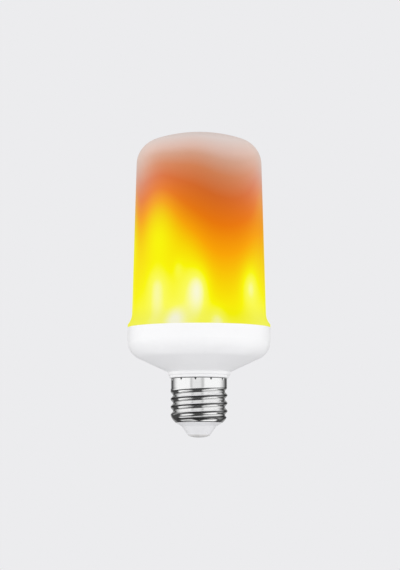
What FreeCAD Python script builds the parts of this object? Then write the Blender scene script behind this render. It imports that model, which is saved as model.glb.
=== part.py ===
import FreeCAD, Part
import math
import os
from typing import NamedTuple

import Sketcher

# A flame-effect LED lamp with a medium Edison screw cap.
#
# A tall frosted cover snaps into a white moulded bowl. The bowl narrows to a collar and a neck, and the
# neck carries the screw shell, which holds the insulator and the contact at its lower end. Inside stands
# a plastic column wrapped in a flexible board with rows of LEDs, under a round board with a few more.
# The column is screwed to posts in the bowl, over the board of the power supply.
#
# The lamp stands on its cap: +Z is up along its axis, and the origin is the tip of the contact.
# The side that is seen from the front is -Y. Lengths are in millimetres and angles in degrees.

SIZES = [
    # Contact and insulator at the end of the cap
    ("contact_drop", 1.3, "tip of the contact below the nose of the insulator"),
    ("contact_radius", 4.9, "head of the contact"),
    ("contact_edge", 0.4, "thickness of the contact's head at its edge"),
    ("stem_radius", 1.5, "stem of the contact"),
    ("stem_bore", 0.8, "radius of the hole in the stem that holds the live lead"),
    ("stem_bore_depth", 5.0, "depth of that hole"),
    ("stem_tail", 0.6, "stem standing out above the insulator"),
    ("stem_fit", 0.05, "radial room of the stem in the insulator"),
    ("nose_radius", 5.2, "lower end of the insulator"),
    ("nose_height", 4.0, "cone of the insulator below its flange"),
    ("shoulder_radius", 8.05, "top of that cone"),
    ("flange_height", 1.6, "sloping flange of the insulator, up to the edge of the shell"),
    ("plug_height", 3.7, "part of the insulator inside the shell"),
    # Screw shell
    ("shell_height", 20.5, "screw shell from its lower edge to its top edge"),
    ("shell_edge_radius", 10.7, "lower edge of the shell, outside"),
    ("shell_end_height", 3.0, "rounded lower end of the shell"),
    ("shell_end_curve", 5.0, "radius of that rounding"),
    ("shell_sheet", 0.4, "sheet of the shell at the bottom of the thread"),
    ("thread_radius", 13.1, "crest of the thread"),
    ("thread_depth", 1.1, "crest to root of the thread"),
    ("thread_pitch", 3.629, "rise of the thread in one turn, seven turns to the inch"),
    ("thread_turns", 3.75, "turns of the groove"),
    ("thread_start", 1.95, "middle of the groove above the shell's lower edge, where it starts"),
    ("crest_land", 0.3, "width of the crest"),
    ("root_land", 0.8, "width of the root"),
    ("crest_bevel", 0.25, "depth of the eased edge beside the crest"),
    ("crest_ease", 0.6, "width of that eased edge"),
    ("band_radius", 12.9, "plain band above the thread"),
    ("band_height", 5.1, "height of the plain band"),
    ("band_slope", 0.8, "slope at the top of the band"),
    ("crimp_count", 11, "punched dents that lock the shell on the neck"),
    ("crimp_width", 1.3, "width of a dent"),
    ("crimp_height", 1.1, "height of a dent"),
    ("crimp_depth", 0.3, "depth of a dent"),
    ("crimp_drop", 0.25, "top of the dents below the top edge of the band"),
    ("crimp_turn", 25.5, "dent to the right of the front, seen from the axis"),
    # Bowl and neck
    ("neck_fit", 0.1, "radial room between the neck and the shell"),
    ("neck_wall", 1.9, "wall of the neck"),
    ("lower_ring_radius", 13.7, "ring that covers the top edge of the shell"),
    ("lower_ring_height", 1.3, "height of that ring"),
    ("collar_radius", 14.35, "collar at the foot of the bowl"),
    ("collar_height", 2.8, "both rings together"),
    ("ring_round", 0.45, "rounding of the rings' edges"),
    ("bowl_slope", 25.0, "slope of the bowl's cone above level"),
    ("bowl_corner", 8.5, "rounding between the cone and the upright side"),
    ("bowl_height", 20.5, "bowl from its collar to its rim"),
    ("bowl_wall", 2.2, "wall of the bowl"),
    ("rim_radius", 33.0, "rim of the bowl and lip of the cover"),
    ("notch_width", 2.0, "notch in the neck that lets the neutral lead out to the shell"),
    ("notch_height", 2.2, "height of that notch"),
    # Joint between bowl and cover
    ("spigot_depth", 4.0, "length of the cover's spigot inside the bowl"),
    ("spigot_wall", 1.2, "wall of the spigot"),
    ("spigot_fit", 0.15, "radial room between the spigot and the bowl"),
    ("bead_drop", 2.3, "snap bead below the rim"),
    ("bead_height", 0.45, "bead standing out of the spigot"),
    ("bead_half_width", 0.6, "half the width of the bead"),
    # Frosted cover
    ("lip_height", 1.4, "upright edge of the cover's lip"),
    ("lip_round", 0.5, "rounding of the lip"),
    ("flare_height", 5.2, "hollow flare between the wall and the lip"),
    ("cover_step", 2.0, "lip standing out past the foot of the cover's wall"),
    ("cover_draft", 2.2, "wall leaning in between its foot and the crown"),
    ("cover_height", 90.8, "cover from the joint to its top"),
    ("crown_radius", 65.0, "radius of the domed crown"),
    ("crown_corner", 12.0, "rounding between the wall and the crown"),
    ("cover_wall", 1.5, "wall of the cover"),
    # Light column
    ("foot_drop", 4.4, "underside of the column's foot below the joint"),
    ("foot_room", 2.45, "radial room between the column's foot and the spigot"),
    ("foot_thickness", 1.8, "thickness of the foot"),
    ("column_room", 2.5, "room between the column and the heads of the screws"),
    ("column_wall", 1.5, "wall of the column"),
    ("column_rise", 71.0, "top of the column above the joint"),
    ("post_inset", 4.0, "middle of a post from the edge of the foot"),
    ("post_count", 3, "number of posts and screws"),
    ("post_radius", 2.2, "radius of a post"),
    ("pilot_radius", 1.15, "hole in a post"),
    ("pilot_depth", 7.0, "depth of that hole"),
    ("screw_hole", 1.4, "radius of the screw holes in the foot"),
    ("screw_radius", 1.1, "shank of a screw"),
    ("screw_length", 7.5, "length of a screw under its head"),
    ("screw_head_radius", 2.2, "head of a screw"),
    ("screw_head_height", 1.6, "height of the head"),
    ("screw_slot_width", 0.6, "width of the cross in the head"),
    ("screw_slot_length", 2.6, "length of the cross"),
    ("screw_slot_depth", 0.8, "depth of the cross"),
    # LED boards
    ("wrap_fit", 0.05, "radial room of the flexible board round the column"),
    ("wrap_thickness", 0.3, "thickness of the flexible board"),
    ("wrap_gap", 1.4, "gap in the flexible board above the foot"),
    ("wrap_seam", 6.0, "angle left open where its ends meet"),
    ("led_columns", 12, "upright rows of LEDs round the column"),
    ("led_rows", 8, "LEDs in each upright row"),
    ("led_margin", 5.0, "first and last LED from the edges of the flexible board"),
    ("led_width", 2.8, "width of an LED"),
    ("led_length", 3.5, "length of an LED"),
    ("led_thickness", 0.7, "thickness of an LED"),
    ("top_board_thickness", 1.2, "round board on top of the column"),
    ("top_led_circle", 9.0, "radius of the circle of LEDs on it"),
    ("top_led_count", 3, "LEDs on the round board"),
    ("solder_count", 6, "solder joints between the two LED boards"),
    ("solder_width", 1.9, "joint from the outside of the flexible board inwards"),
    ("solder_angle", 5.5, "angle that a joint takes round the column"),
    ("solder_height", 0.45, "height of a joint"),
    ("chip_length", 9.9, "control chip under the round board"),
    ("chip_width", 3.9, "width of the control chip"),
    ("chip_height", 1.5, "height of the chips"),
    ("chip_pin_pitch", 1.27, "distance between the pins of the chips"),
    ("chip_pins", 8, "pins on each side of the control chip"),
    ("pin_width", 0.4, "width of a pin"),
    ("pin_reach", 1.0, "pin standing out of the side"),
    ("pin_thickness", 0.25, "thickness of a pin"),
    # Power supply
    ("board_rise", 5.8, "underside of the supply board above the top of the collar"),
    ("board_radius", 19.8, "supply board"),
    ("post_room", 1.5, "room round a post in the notches of the supply board"),
    ("board_thickness", 1.6, "thickness of the supply board"),
    ("seat_radius", 19.0, "outside of the ring that carries the supply board"),
    ("seat_width", 1.5, "width of that ring"),
    ("mains_hole", 3.5, "holes for the mains leads from the axis"),
    ("light_hole", 4.5, "holes for the light leads from the middle plane"),
    ("light_hole_back", 7.5, "holes for the light leads behind the axis"),
    ("lead_radius", 0.6, "insulated lead"),
    ("lead_fit", 0.1, "radial room of a lead in its hole"),
    ("lead_tail", 0.6, "lead standing out of the top of the board"),
    ("lead_slack", 1.0, "light leads bowed back inside the column"),
    ("mains_run", 5.0, "straight run of the live lead above the insulator"),
    ("mains_climb", 9.0, "height over which a mains lead leans over to its hole"),
    ("live_lead_gap", 0.1, "lead clear of the bottom of its hole"),
    ("input_can_radius", 4.0, "input capacitor"),
    ("input_can_length", 12.0, "length of the input capacitor"),
    ("input_can_front", 10.2, "its axis in front of the lamp's axis"),
    ("output_can_radius", 3.15, "output capacitor"),
    ("output_can_height", 7.5, "height of the output capacitor"),
    ("output_can_left", 11.0, "its axis left of the lamp's axis"),
    ("side_part_back", 3.0, "output capacitor and choke behind the axis"),
    ("can_groove", 0.35, "depth of the groove rolled into a can"),
    ("can_groove_width", 0.8, "width of that groove"),
    ("can_groove_place", 1.6, "middle of that groove from the end with the pins"),
    ("pin_radius", 0.3, "round pin of a component"),
    ("pin_fit", 0.1, "radial room of a pin in its hole"),
    ("pin_tail", 0.6, "pin standing out under the board"),
    ("pin_bend", 1.2, "bent pin beyond the end of its component"),
    ("bend_radius", 0.7, "radius of a pin's bend"),
    ("can_pin_spread", 1.25, "pins of the output capacitor from its axis"),
    ("input_pin_spread", 1.75, "pins of the input capacitor from its axis"),
    ("choke_pin_spread", 2.5, "pins of the choke from its axis"),
    ("choke_radius", 4.0, "flanges of the choke"),
    ("choke_height", 7.4, "height of the choke"),
    ("choke_flange", 1.1, "thickness of its flanges"),
    ("choke_core_radius", 1.9, "core of the choke"),
    ("winding_radius", 3.5, "outside of its winding"),
    ("choke_right", 11.0, "axis of the choke right of the lamp's axis"),
    ("film_length", 10.0, "film capacitor"),
    ("film_width", 4.4, "width of the film capacitor"),
    ("film_height", 7.4, "height of the film capacitor"),
    ("film_round", 0.8, "rounding of its upright edges"),
    ("film_back", 14.0, "film capacitor behind the axis"),
    ("film_pin_spread", 3.75, "pins of the film capacitor from its middle"),
    ("fuse_radius", 1.5, "fusible resistor"),
    ("fuse_length", 7.6, "length of the fusible resistor"),
    ("fuse_lift", 0.3, "fusible resistor above the board"),
    ("fuse_front", 3.4, "fusible resistor in front of the axis"),
    ("fuse_round", 0.5, "rounding of its ends"),
    ("bridge_length", 6.4, "bridge rectifier under the board"),
    ("bridge_width", 5.2, "width of the bridge rectifier"),
    ("bridge_height", 2.4, "height of the bridge rectifier"),
    ("bridge_front", 8.0, "bridge rectifier in front of the axis"),
    ("bridge_pin_spread", 2.54, "distance between its pins"),
    ("driver_chip_length", 4.9, "driver chip under the board"),
    ("driver_chip_pins", 4, "pins on each side of the driver chip"),
    ("driver_chip_back", 8.0, "driver chip behind the axis"),
]


class Corner(NamedTuple):
    """A corner of an outline.

    An arc leads on to the next corner. It turns left, or right where its radius has a minus sign. A
    rounding takes the place of the corner itself.
    """

    across: object
    up: object
    arc: object = None
    rounding: object = None


class Size:
    """A length, angle or count that knows its number and the spreadsheet expression that gives it."""

    def __init__(self, number, text):
        self.number = float(number)
        self.text = text

    def __add__(self, other):
        return combined(self, "+", other, self.number + sized(other).number)

    def __radd__(self, other):
        return sized(other) + self

    def __sub__(self, other):
        return combined(self, "-", other, self.number - sized(other).number)

    def __rsub__(self, other):
        return sized(other) - self

    def __mul__(self, other):
        return combined(self, "*", other, self.number * sized(other).number)

    def __rmul__(self, other):
        return sized(other) * self

    def __truediv__(self, other):
        return combined(self, "/", other, self.number / sized(other).number)

    def __rtruediv__(self, other):
        return sized(other) / self

    def __neg__(self):
        return sized(0) - self


def sized(value):
    """A plain number as a Size. A Size is returned as it is."""
    if isinstance(value, Size):
        return value
    return Size(value, str(value))


def combined(left, sign, right, number):
    """The Size that an operation on two values gives."""
    return Size(number, f"({left.text} {sign} {sized(right).text})")


def tangent(angle):
    """Tangent of an angle in degrees."""
    return Size(math.tan(math.radians(angle.number)), f"tan({angle.text})")


def cosine(angle):
    """Cosine of an angle in degrees."""
    return Size(math.cos(math.radians(angle.number)), f"cos({angle.text})")


def root(value):
    """Square root."""
    return Size(value.number ** 0.5, f"sqrt({value.text})")


doc = FreeCAD.newDocument("FlameLamp")


def make_sheet():
    """Fills the spreadsheet and returns its values by name."""
    sheet = doc.addObject("Spreadsheet::Sheet", "Sizes")
    named = {}
    for row, (alias, number, meaning) in enumerate(SIZES, 1):
        sheet.set(f"A{row}", meaning)
        sheet.set(f"B{row}", str(number))
        sheet.setAlias(f"B{row}", alias)
        named[alias] = Size(number, f"Sizes.{alias}")
    doc.recompute()
    return named


size = make_sheet()

# Heights of the main levels above the tip of the contact
nose_level = size["contact_drop"]
shoulder_level = nose_level + size["nose_height"]
shell_edge_level = shoulder_level + size["flange_height"]
plug_level = shell_edge_level + size["plug_height"]
shell_top_level = shell_edge_level + size["shell_height"]
collar_level = shell_top_level + size["collar_height"]
supply_level = collar_level + size["board_rise"]
supply_top_level = supply_level + size["board_thickness"]
joint_level = collar_level + size["bowl_height"]
spigot_level = joint_level - size["spigot_depth"]
bead_level = joint_level - size["bead_drop"]
foot_level = joint_level - size["foot_drop"]
foot_top_level = foot_level + size["foot_thickness"]
column_level = joint_level + size["column_rise"]
top_board_level = column_level + size["top_board_thickness"]
wrap_level = foot_top_level + size["wrap_gap"]
cover_level = joint_level + size["cover_height"]

# Radii that pieces share
thread_root = size["thread_radius"] - size["thread_depth"]
shell_bore = thread_root - size["shell_sheet"]
neck_radius = shell_bore - size["neck_fit"]
neck_bore = neck_radius - size["neck_wall"]
rim_bore = size["rim_radius"] - size["bowl_wall"]
spigot_radius = rim_bore - size["spigot_fit"]
spigot_bore = spigot_radius - size["spigot_wall"]
cover_radius = size["rim_radius"] - size["cover_step"]
foot_radius = spigot_bore - size["foot_room"]
post_circle = foot_radius - size["post_inset"]
column_radius = post_circle - size["screw_head_radius"] - size["column_room"]
wrap_bore = column_radius + size["wrap_fit"]
wrap_radius = wrap_bore + size["wrap_thickness"]
lead_hole = size["lead_radius"] + size["lead_fit"]
pin_depth = size["board_thickness"] + size["pin_tail"]


def bowl_floor(radius, depth=1.0):
    """Height of the bowl's cone at a radius, at a share of the wall's thickness above its outer face."""
    rise = (radius - size["collar_radius"]) * tangent(size["bowl_slope"])
    return collar_level + size["bowl_wall"] * depth / cosine(size["bowl_slope"]) + rise


# Sketches and features


def new_body(label):
    """A body for one sub-part."""
    body = doc.addObject("PartDesign::Body", label)
    body.Label = label
    return body


def origin_part(body, role):
    """A plane or axis of the body's own origin."""
    return next(feature for feature in body.Origin.OriginFeatures if feature.Role == role)


def sketch_on(body, role, name, offset=None):
    """A sketch on one of the body's origin planes, moved along the plane's normal by the offset."""
    sketch = body.newObject("Sketcher::SketchObject", name)
    sketch.AttachmentSupport = [(origin_part(body, role), "")]
    sketch.MapMode = "FlatFace"
    if offset is not None:
        sketch.setExpression("AttachmentOffset.Base.z", sized(offset).text)
    return sketch


def left_arc(start, end, radius):
    """An arc from start to end that turns left."""
    chord = end - start
    left = FreeCAD.Vector(-chord.y, chord.x, 0).normalize()
    centre = (start + end) / 2 + left * math.sqrt(radius * radius - (chord.Length / 2) ** 2)
    return Part.Arc(start, centre - left * radius, end)


def bind(sketch, constraint_type, where, value):
    """Adds one dimension and ties it to the sizes. A dimension of nothing puts the point on the axis."""
    if value.text == "0":
        axis = -2 if constraint_type == "DistanceX" else -1
        sketch.addConstraint(Sketcher.Constraint("PointOnObject", *where[-2:], axis))
        return
    number = sketch.addConstraint(Sketcher.Constraint(constraint_type, *where, value.number))
    sketch.setExpression(f"Constraints[{number}]", value.text)


def point_beside(sketch, edge, vertex, distance):
    """A point on an edge of a sketch, at most a distance along it from one of its ends."""
    curve = sketch.Geometry[edge]
    along = min(distance, curve.length() / 2)
    if vertex == 1:
        return curve.value(curve.parameterAtDistance(along, curve.FirstParameter))
    return curve.value(curve.parameterAtDistance(-along, curve.LastParameter))


def draw_edge(sketch, start, end, arc):
    """Draws one edge of an outline, and returns its number and the numbers of its start and end."""
    if arc is None:
        return sketch.addGeometry(Part.LineSegment(start, end), False), 1, 2
    if arc.number < 0:
        return sketch.addGeometry(left_arc(end, start, -arc.number), False), 2, 1
    return sketch.addGeometry(left_arc(start, end, arc.number), False), 1, 2


def round_corner(sketch, before, after, corner):
    """Rounds the corner where two edges meet, and keeps a guide point where the corner was.

    Each of the two edges is given as its number and the number of its end at the corner.
    """
    radius = corner.rounding.number
    sides = [point_beside(sketch, edge, vertex, radius) for edge, vertex in (before, after)]
    sketch.fillet(before[0], after[0], *sides, radius, True, False)
    bind(sketch, "Radius", (sketch.GeometryCount - 1,), corner.rounding)
    place = FreeCAD.Vector(sized(corner.across).number, sized(corner.up).number, 0)
    guide = sketch.addGeometry(Part.Point(place), True)
    sketch.addConstraint(Sketcher.Constraint("PointOnObject", guide, 1, before[0]))
    sketch.addConstraint(Sketcher.Constraint("PointOnObject", guide, 1, after[0]))
    return guide, 1


def draw_outline(sketch, corners):
    """Draws a closed outline and ties every corner, arc and rounding to the sizes."""
    corners = [Corner(*corner) for corner in corners]
    points = [FreeCAD.Vector(sized(corner.across).number, sized(corner.up).number, 0) for corner in corners]
    edges = []
    for corner, start, end in zip(corners, points, points[1:] + points[:1]):
        edges.append(draw_edge(sketch, start, end, corner.arc))
    for (before, _, ending), (after, starting, _) in zip(edges[-1:] + edges[:-1], edges):
        sketch.addConstraint(Sketcher.Constraint("Coincident", before, ending, after, starting))
    for index, corner in enumerate(corners):
        before, _, ending = edges[index - 1]
        after, starting, _ = edges[index]
        place = (after, starting)
        if corner.rounding is not None:
            place = round_corner(sketch, (before, ending), (after, starting), corner)
        bind(sketch, "DistanceX", (-1, 1, *place), sized(corner.across))
        bind(sketch, "DistanceY", (-1, 1, *place), sized(corner.up))
        if corner.arc is not None:
            bind(sketch, "Radius", (after,), corner.arc if corner.arc.number > 0 else -corner.arc)


def draw_path(sketch, corners):
    """Draws an open path of straight runs with rounded bends, and ties it to the sizes."""
    corners = [Corner(*corner) for corner in corners]
    points = [FreeCAD.Vector(sized(corner.across).number, sized(corner.up).number, 0) for corner in corners]
    runs = [draw_edge(sketch, start, end, None) for start, end in zip(points, points[1:])]
    places = [(runs[0][0], runs[0][1])]
    for corner, (before, _, ending), (after, starting, _) in zip(corners[1:], runs, runs[1:]):
        sketch.addConstraint(Sketcher.Constraint("Coincident", before, ending, after, starting))
        places.append(round_corner(sketch, (before, ending), (after, starting), corner))
    places.append((runs[-1][0], runs[-1][2]))
    for corner, place in zip(corners, places):
        bind(sketch, "DistanceX", (-1, 1, *place), sized(corner.across))
        bind(sketch, "DistanceY", (-1, 1, *place), sized(corner.up))


def draw_box(sketch, across, up, width, height):
    """Draws a rectangle about a middle point."""
    left, right = sized(across) - width / 2, sized(across) + width / 2
    low, high = sized(up) - height / 2, sized(up) + height / 2
    draw_outline(sketch, [(left, low), (right, low), (right, high), (left, high)])


def draw_circle(sketch, across, up, radius):
    """Draws a circle."""
    across, up = sized(across), sized(up)
    middle = FreeCAD.Vector(across.number, up.number, 0)
    ring = sketch.addGeometry(Part.Circle(middle, FreeCAD.Vector(0, 0, 1), radius.number), False)
    bind(sketch, "DistanceX", (-1, 1, ring, 3), across)
    bind(sketch, "DistanceY", (-1, 1, ring, 3), up)
    bind(sketch, "Radius", (ring,), radius)


def revolve(body, name, corners, angle=None):
    """Turns a section, drawn as radius and height, about the body's upright axis."""
    sketch = sketch_on(body, "XZ_Plane", name + "_section")
    draw_outline(sketch, corners)
    feature = body.newObject("PartDesign::Revolution", name)
    feature.Profile = sketch
    feature.ReferenceAxis = (sketch, ["V_Axis"])
    feature.Angle = 360
    if angle is not None:
        feature.Midplane = True
        feature.setExpression("Angle", angle.text)
    return feature


def pad(body, name, sketch, length, down=False):
    """Raises a sketch by a length, or lowers it."""
    feature = body.newObject("PartDesign::Pad", name)
    feature.Profile = sketch
    feature.setExpression("Length", sized(length).text)
    feature.Reversed = down
    return feature


def pocket(body, name, sketch, depth, upward=False):
    """Cuts a sketch into the solid by a depth, against the sketch's normal or along it."""
    feature = body.newObject("PartDesign::Pocket", name)
    feature.Profile = sketch
    feature.setExpression("Length", sized(depth).text)
    feature.Reversed = upward
    return feature


def polar(body, name, features, count):
    """Repeats features round the body's upright axis."""
    feature = body.newObject("PartDesign::PolarPattern", name)
    feature.Originals = features
    feature.Axis = (origin_part(body, "Z_Axis"), [""])
    feature.Angle = 360
    feature.setExpression("Occurrences", sized(count).text)
    body.Tip = feature
    return feature


def row(body, name, features, axis, pitch, count):
    """Repeats features along one of the body's axes."""
    feature = body.newObject("PartDesign::LinearPattern", name)
    feature.Originals = features
    feature.Direction = (origin_part(body, axis), [""])
    feature.setExpression("Length", (pitch * (count - 1)).text)
    feature.setExpression("Occurrences", count.text)
    body.Tip = feature
    return feature


def mirror(body, name, features, role):
    """Repeats features on the other side of one of the body's planes."""
    feature = body.newObject("PartDesign::Mirrored", name)
    feature.Originals = features
    feature.MirrorPlane = (origin_part(body, role), [""])
    body.Tip = feature
    return feature


def place(body, across=0, back=0, up=0):
    """Moves a body that was drawn about its own origin to its place in the lamp."""
    for axis, value in (("x", across), ("y", back), ("z", up)):
        body.setExpression(f"Placement.Base.{axis}", sized(value).text)


# Screw cap


def make_contact():
    """Riveted contact: a domed head, and a stem with a blind hole for the live lead."""
    body = new_body("centre_contact")
    dome = nose_level - size["contact_edge"]
    curve = (size["contact_radius"] * size["contact_radius"] + dome * dome) / (2 * dome)
    stem_top = plug_level + size["stem_tail"]
    bore_bottom = stem_top - size["stem_bore_depth"]
    revolve(body, "contact", [
        (0, 0, curve),
        (size["contact_radius"], dome),
        (size["contact_radius"], nose_level),
        (size["stem_radius"], nose_level),
        (size["stem_radius"], stem_top),
        (size["stem_bore"], stem_top),
        (size["stem_bore"], bore_bottom),
        (0, bore_bottom),
    ])


def make_insulator():
    """Insulator: a nose cone and flange outside the shell, and a plug that its rounded end holds."""
    body = new_body("cap_insulator")
    bore = size["stem_radius"] + size["stem_fit"]
    seat = size["shell_edge_radius"] - size["shell_sheet"]
    revolve(body, "insulator", [
        (bore, nose_level),
        (size["nose_radius"], nose_level),
        (size["shoulder_radius"], shoulder_level),
        (size["shell_edge_radius"], shell_edge_level),
        (seat, shell_edge_level),
        (shell_bore, shell_edge_level + size["shell_end_height"]),
        (shell_bore, plug_level),
        (bore, plug_level),
    ])


def make_screw_shell():
    """Screw shell: a rolled knuckle thread between a plain band and a rounded end, with crimp dents."""
    body = new_body("screw_shell")
    end_top = shell_edge_level + size["shell_end_height"]
    band_foot = shell_top_level - size["band_height"]
    step = size["thread_radius"] - size["band_radius"]
    revolve(body, "wall", [
        (size["shell_edge_radius"] - size["shell_sheet"], shell_edge_level),
        (size["shell_edge_radius"], shell_edge_level, size["shell_end_curve"]),
        (size["thread_radius"], end_top),
        (size["thread_radius"], band_foot),
        (size["band_radius"], band_foot + step),
        (size["band_radius"], shell_top_level - size["band_slope"]),
        (size["band_radius"] - size["band_slope"], shell_top_level),
        (shell_bore, shell_top_level),
        (shell_bore, end_top),
    ])
    groove = sketch_on(body, "XZ_Plane", "groove_section")
    middle = shell_edge_level + size["thread_start"]
    half = (size["thread_pitch"] - size["crest_land"]) / 2
    outside = size["thread_radius"] + size["crest_land"]
    eased_radius = size["thread_radius"] - size["crest_bevel"]
    eased = half - size["crest_ease"]
    draw_outline(groove, [
        (-size["thread_radius"], middle - half),
        (-outside, middle - half),
        (-outside, middle + half),
        (-size["thread_radius"], middle + half),
        (-eased_radius, middle + eased),
        (-thread_root, middle + size["root_land"] / 2),
        (-thread_root, middle - size["root_land"] / 2),
        (-eased_radius, middle - eased),
    ])
    thread = body.newObject("PartDesign::SubtractiveHelix", "thread")
    thread.Profile = groove
    thread.ReferenceAxis = (groove, ["V_Axis"])
    thread.Mode = "pitch-turns-angle"
    thread.setExpression("Pitch", size["thread_pitch"].text)
    thread.setExpression("Turns", size["thread_turns"].text)
    top = shell_top_level - size["crimp_drop"]
    dent = sketch_on(body, "XZ_Plane", "dent_outline", size["band_radius"] + size["crimp_depth"])
    draw_outline(dent, [
        (-size["crimp_width"] / 2, top),
        (0, top - size["crimp_height"]),
        (size["crimp_width"] / 2, top),
    ])
    crimp = pocket(body, "crimp", dent, size["crimp_depth"] * 2)
    polar(body, "crimps", [crimp], size["crimp_count"])
    body.setExpression("Placement.Rotation.Angle", size["crimp_turn"].text)


# Bowl


def make_housing():
    """Bowl: neck, two rings, cone and upright side, with the supply board's seat and the posts."""
    body = new_body("housing")
    ring_top = shell_top_level + size["lower_ring_height"]
    cone_end = bowl_floor(size["rim_radius"], 0.0)
    bead_room = size["bead_half_width"] + size["spigot_fit"]
    seat_radius = size["seat_radius"]
    seat_bore = seat_radius - size["seat_width"]
    revolve(body, "bowl", [
        (neck_bore, plug_level),
        (neck_radius, plug_level),
        (neck_radius, shell_top_level),
        Corner(size["lower_ring_radius"], shell_top_level, rounding=size["ring_round"]),
        (size["lower_ring_radius"], ring_top),
        Corner(size["collar_radius"], ring_top, rounding=size["ring_round"]),
        (size["collar_radius"], collar_level),
        Corner(size["rim_radius"], cone_end, rounding=size["bowl_corner"]),
        (size["rim_radius"], joint_level),
        (rim_bore, joint_level),
        (rim_bore, bead_level + bead_room),
        (rim_bore + size["bead_height"], bead_level),
        (rim_bore, bead_level - bead_room),
        Corner(rim_bore, bowl_floor(rim_bore), rounding=size["bowl_corner"] - size["bowl_wall"]),
        (seat_radius, bowl_floor(seat_radius)),
        (seat_radius, supply_level),
        (seat_bore, supply_level),
        (seat_bore, bowl_floor(seat_bore)),
        (neck_bore, bowl_floor(neck_bore)),
    ])
    post_foot = bowl_floor(post_circle, 0.5)
    post = sketch_on(body, "XY_Plane", "post_outline", post_foot)
    draw_circle(post, 0, -post_circle, size["post_radius"])
    post_pad = pad(body, "post", post, foot_level - post_foot)
    polar(body, "posts", [post_pad], size["post_count"])
    hole = sketch_on(body, "XY_Plane", "pilot_outline", foot_level)
    draw_circle(hole, 0, -post_circle, size["pilot_radius"])
    pilot = pocket(body, "pilot", hole, size["pilot_depth"])
    polar(body, "pilots", [pilot], size["post_count"])
    notch = sketch_on(body, "YZ_Plane", "notch_outline", -neck_bore + size["neck_wall"] / 2)
    draw_box(notch, 0, plug_level, size["notch_width"], size["notch_height"] * 2)
    pocket(body, "notch", notch, size["neck_wall"] * 2)


# Cover


def make_diffuser():
    """Frosted cover: a drafted wall under a domed crown, a flared lip and a spigot with a snap bead."""
    body = new_body("diffuser")
    lip_top = joint_level + size["lip_height"]
    flare_top = lip_top + size["flare_height"]
    flare_width = size["rim_radius"] - cover_radius
    flare = (flare_width * flare_width + size["flare_height"] * size["flare_height"]) / (2 * flare_width)
    crown_centre = cover_level - size["crown_radius"]
    edge = cover_radius - size["cover_draft"]
    edge_level = crown_centre + root(size["crown_radius"] * size["crown_radius"] - edge * edge)
    inner_crown = size["crown_radius"] - size["cover_wall"]
    inner_edge = edge - size["cover_wall"]
    inner_edge_level = crown_centre + root(inner_crown * inner_crown - inner_edge * inner_edge)
    revolve(body, "cover", [
        (spigot_radius, joint_level),
        (size["rim_radius"], joint_level),
        Corner(size["rim_radius"], lip_top, arc=-flare, rounding=size["lip_round"]),
        (cover_radius, flare_top),
        Corner(edge, edge_level, arc=size["crown_radius"], rounding=size["crown_corner"]),
        (0, cover_level),
        (0, cover_level - size["cover_wall"], -inner_crown),
        Corner(inner_edge, inner_edge_level, rounding=size["crown_corner"] - size["cover_wall"]),
        (cover_radius - size["cover_wall"], flare_top),
        (spigot_bore, spigot_level),
        (spigot_radius, spigot_level),
        (spigot_radius, bead_level - size["bead_half_width"]),
        (spigot_radius + size["bead_height"], bead_level),
        (spigot_radius, bead_level + size["bead_half_width"]),
    ])


# Light column and its boards


def make_column():
    """Plastic column: a tube on a round foot with screw holes."""
    body = new_body("light_column")
    bore = column_radius - size["column_wall"]
    revolve(body, "tube", [
        (bore, foot_level),
        (foot_radius, foot_level),
        (foot_radius, foot_top_level),
        (column_radius, foot_top_level),
        (column_radius, column_level),
        (bore, column_level),
    ])
    hole = sketch_on(body, "XY_Plane", "hole_outline", foot_top_level)
    draw_circle(hole, 0, -post_circle, size["screw_hole"])
    cut = pocket(body, "screw_hole", hole, size["foot_thickness"])
    polar(body, "screw_holes", [cut], size["post_count"])


def make_wrap_board():
    """Flexible board wrapped round the column, open at a seam between two rows of LEDs."""
    body = new_body("led_wrap_board")
    revolve(body, "wrap", [
        (wrap_bore, wrap_level),
        (wrap_radius, wrap_level),
        (wrap_radius, top_board_level),
        (wrap_bore, top_board_level),
    ], angle=360 - size["wrap_seam"])
    body.setExpression("Placement.Rotation.Angle", (270 + 180 / size["led_columns"]).text)


def make_side_leds():
    """LEDs on the flexible board, in upright rows round the column."""
    body = new_body("side_leds")
    body.AllowCompound = True
    first = wrap_level + size["led_margin"]
    pitch = (top_board_level - wrap_level - size["led_margin"] * 2) / (size["led_rows"] - 1)
    outline = sketch_on(body, "YZ_Plane", "led_outline", wrap_radius)
    draw_box(outline, 0, first, size["led_width"], size["led_length"])
    chip = pad(body, "led", outline, size["led_thickness"])
    grid = body.newObject("PartDesign::MultiTransform", "led_grid")
    grid.Originals = [chip]
    upright = body.newObject("PartDesign::LinearPattern", "led_upright")
    upright.Direction = (origin_part(body, "Z_Axis"), [""])
    upright.setExpression("Length", (pitch * (size["led_rows"] - 1)).text)
    upright.setExpression("Occurrences", size["led_rows"].text)
    around = body.newObject("PartDesign::PolarPattern", "led_around")
    around.Axis = (origin_part(body, "Z_Axis"), [""])
    around.Angle = 360
    around.setExpression("Occurrences", size["led_columns"].text)
    grid.Transformations = [upright, around]
    body.Tip = grid


def make_top_board():
    """Round board that closes the top of the column."""
    body = new_body("top_led_board")
    disc = sketch_on(body, "XY_Plane", "board_outline", column_level)
    draw_circle(disc, 0, 0, column_radius)
    pad(body, "board", disc, size["top_board_thickness"])


def make_top_leds():
    """LEDs on the round board."""
    body = new_body("top_leds")
    body.AllowCompound = True
    outline = sketch_on(body, "XY_Plane", "led_outline", top_board_level)
    draw_box(outline, 0, -size["top_led_circle"], size["led_width"], size["led_length"])
    chip = pad(body, "led", outline, size["led_thickness"])
    polar(body, "leds", [chip], size["top_led_count"])


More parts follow.
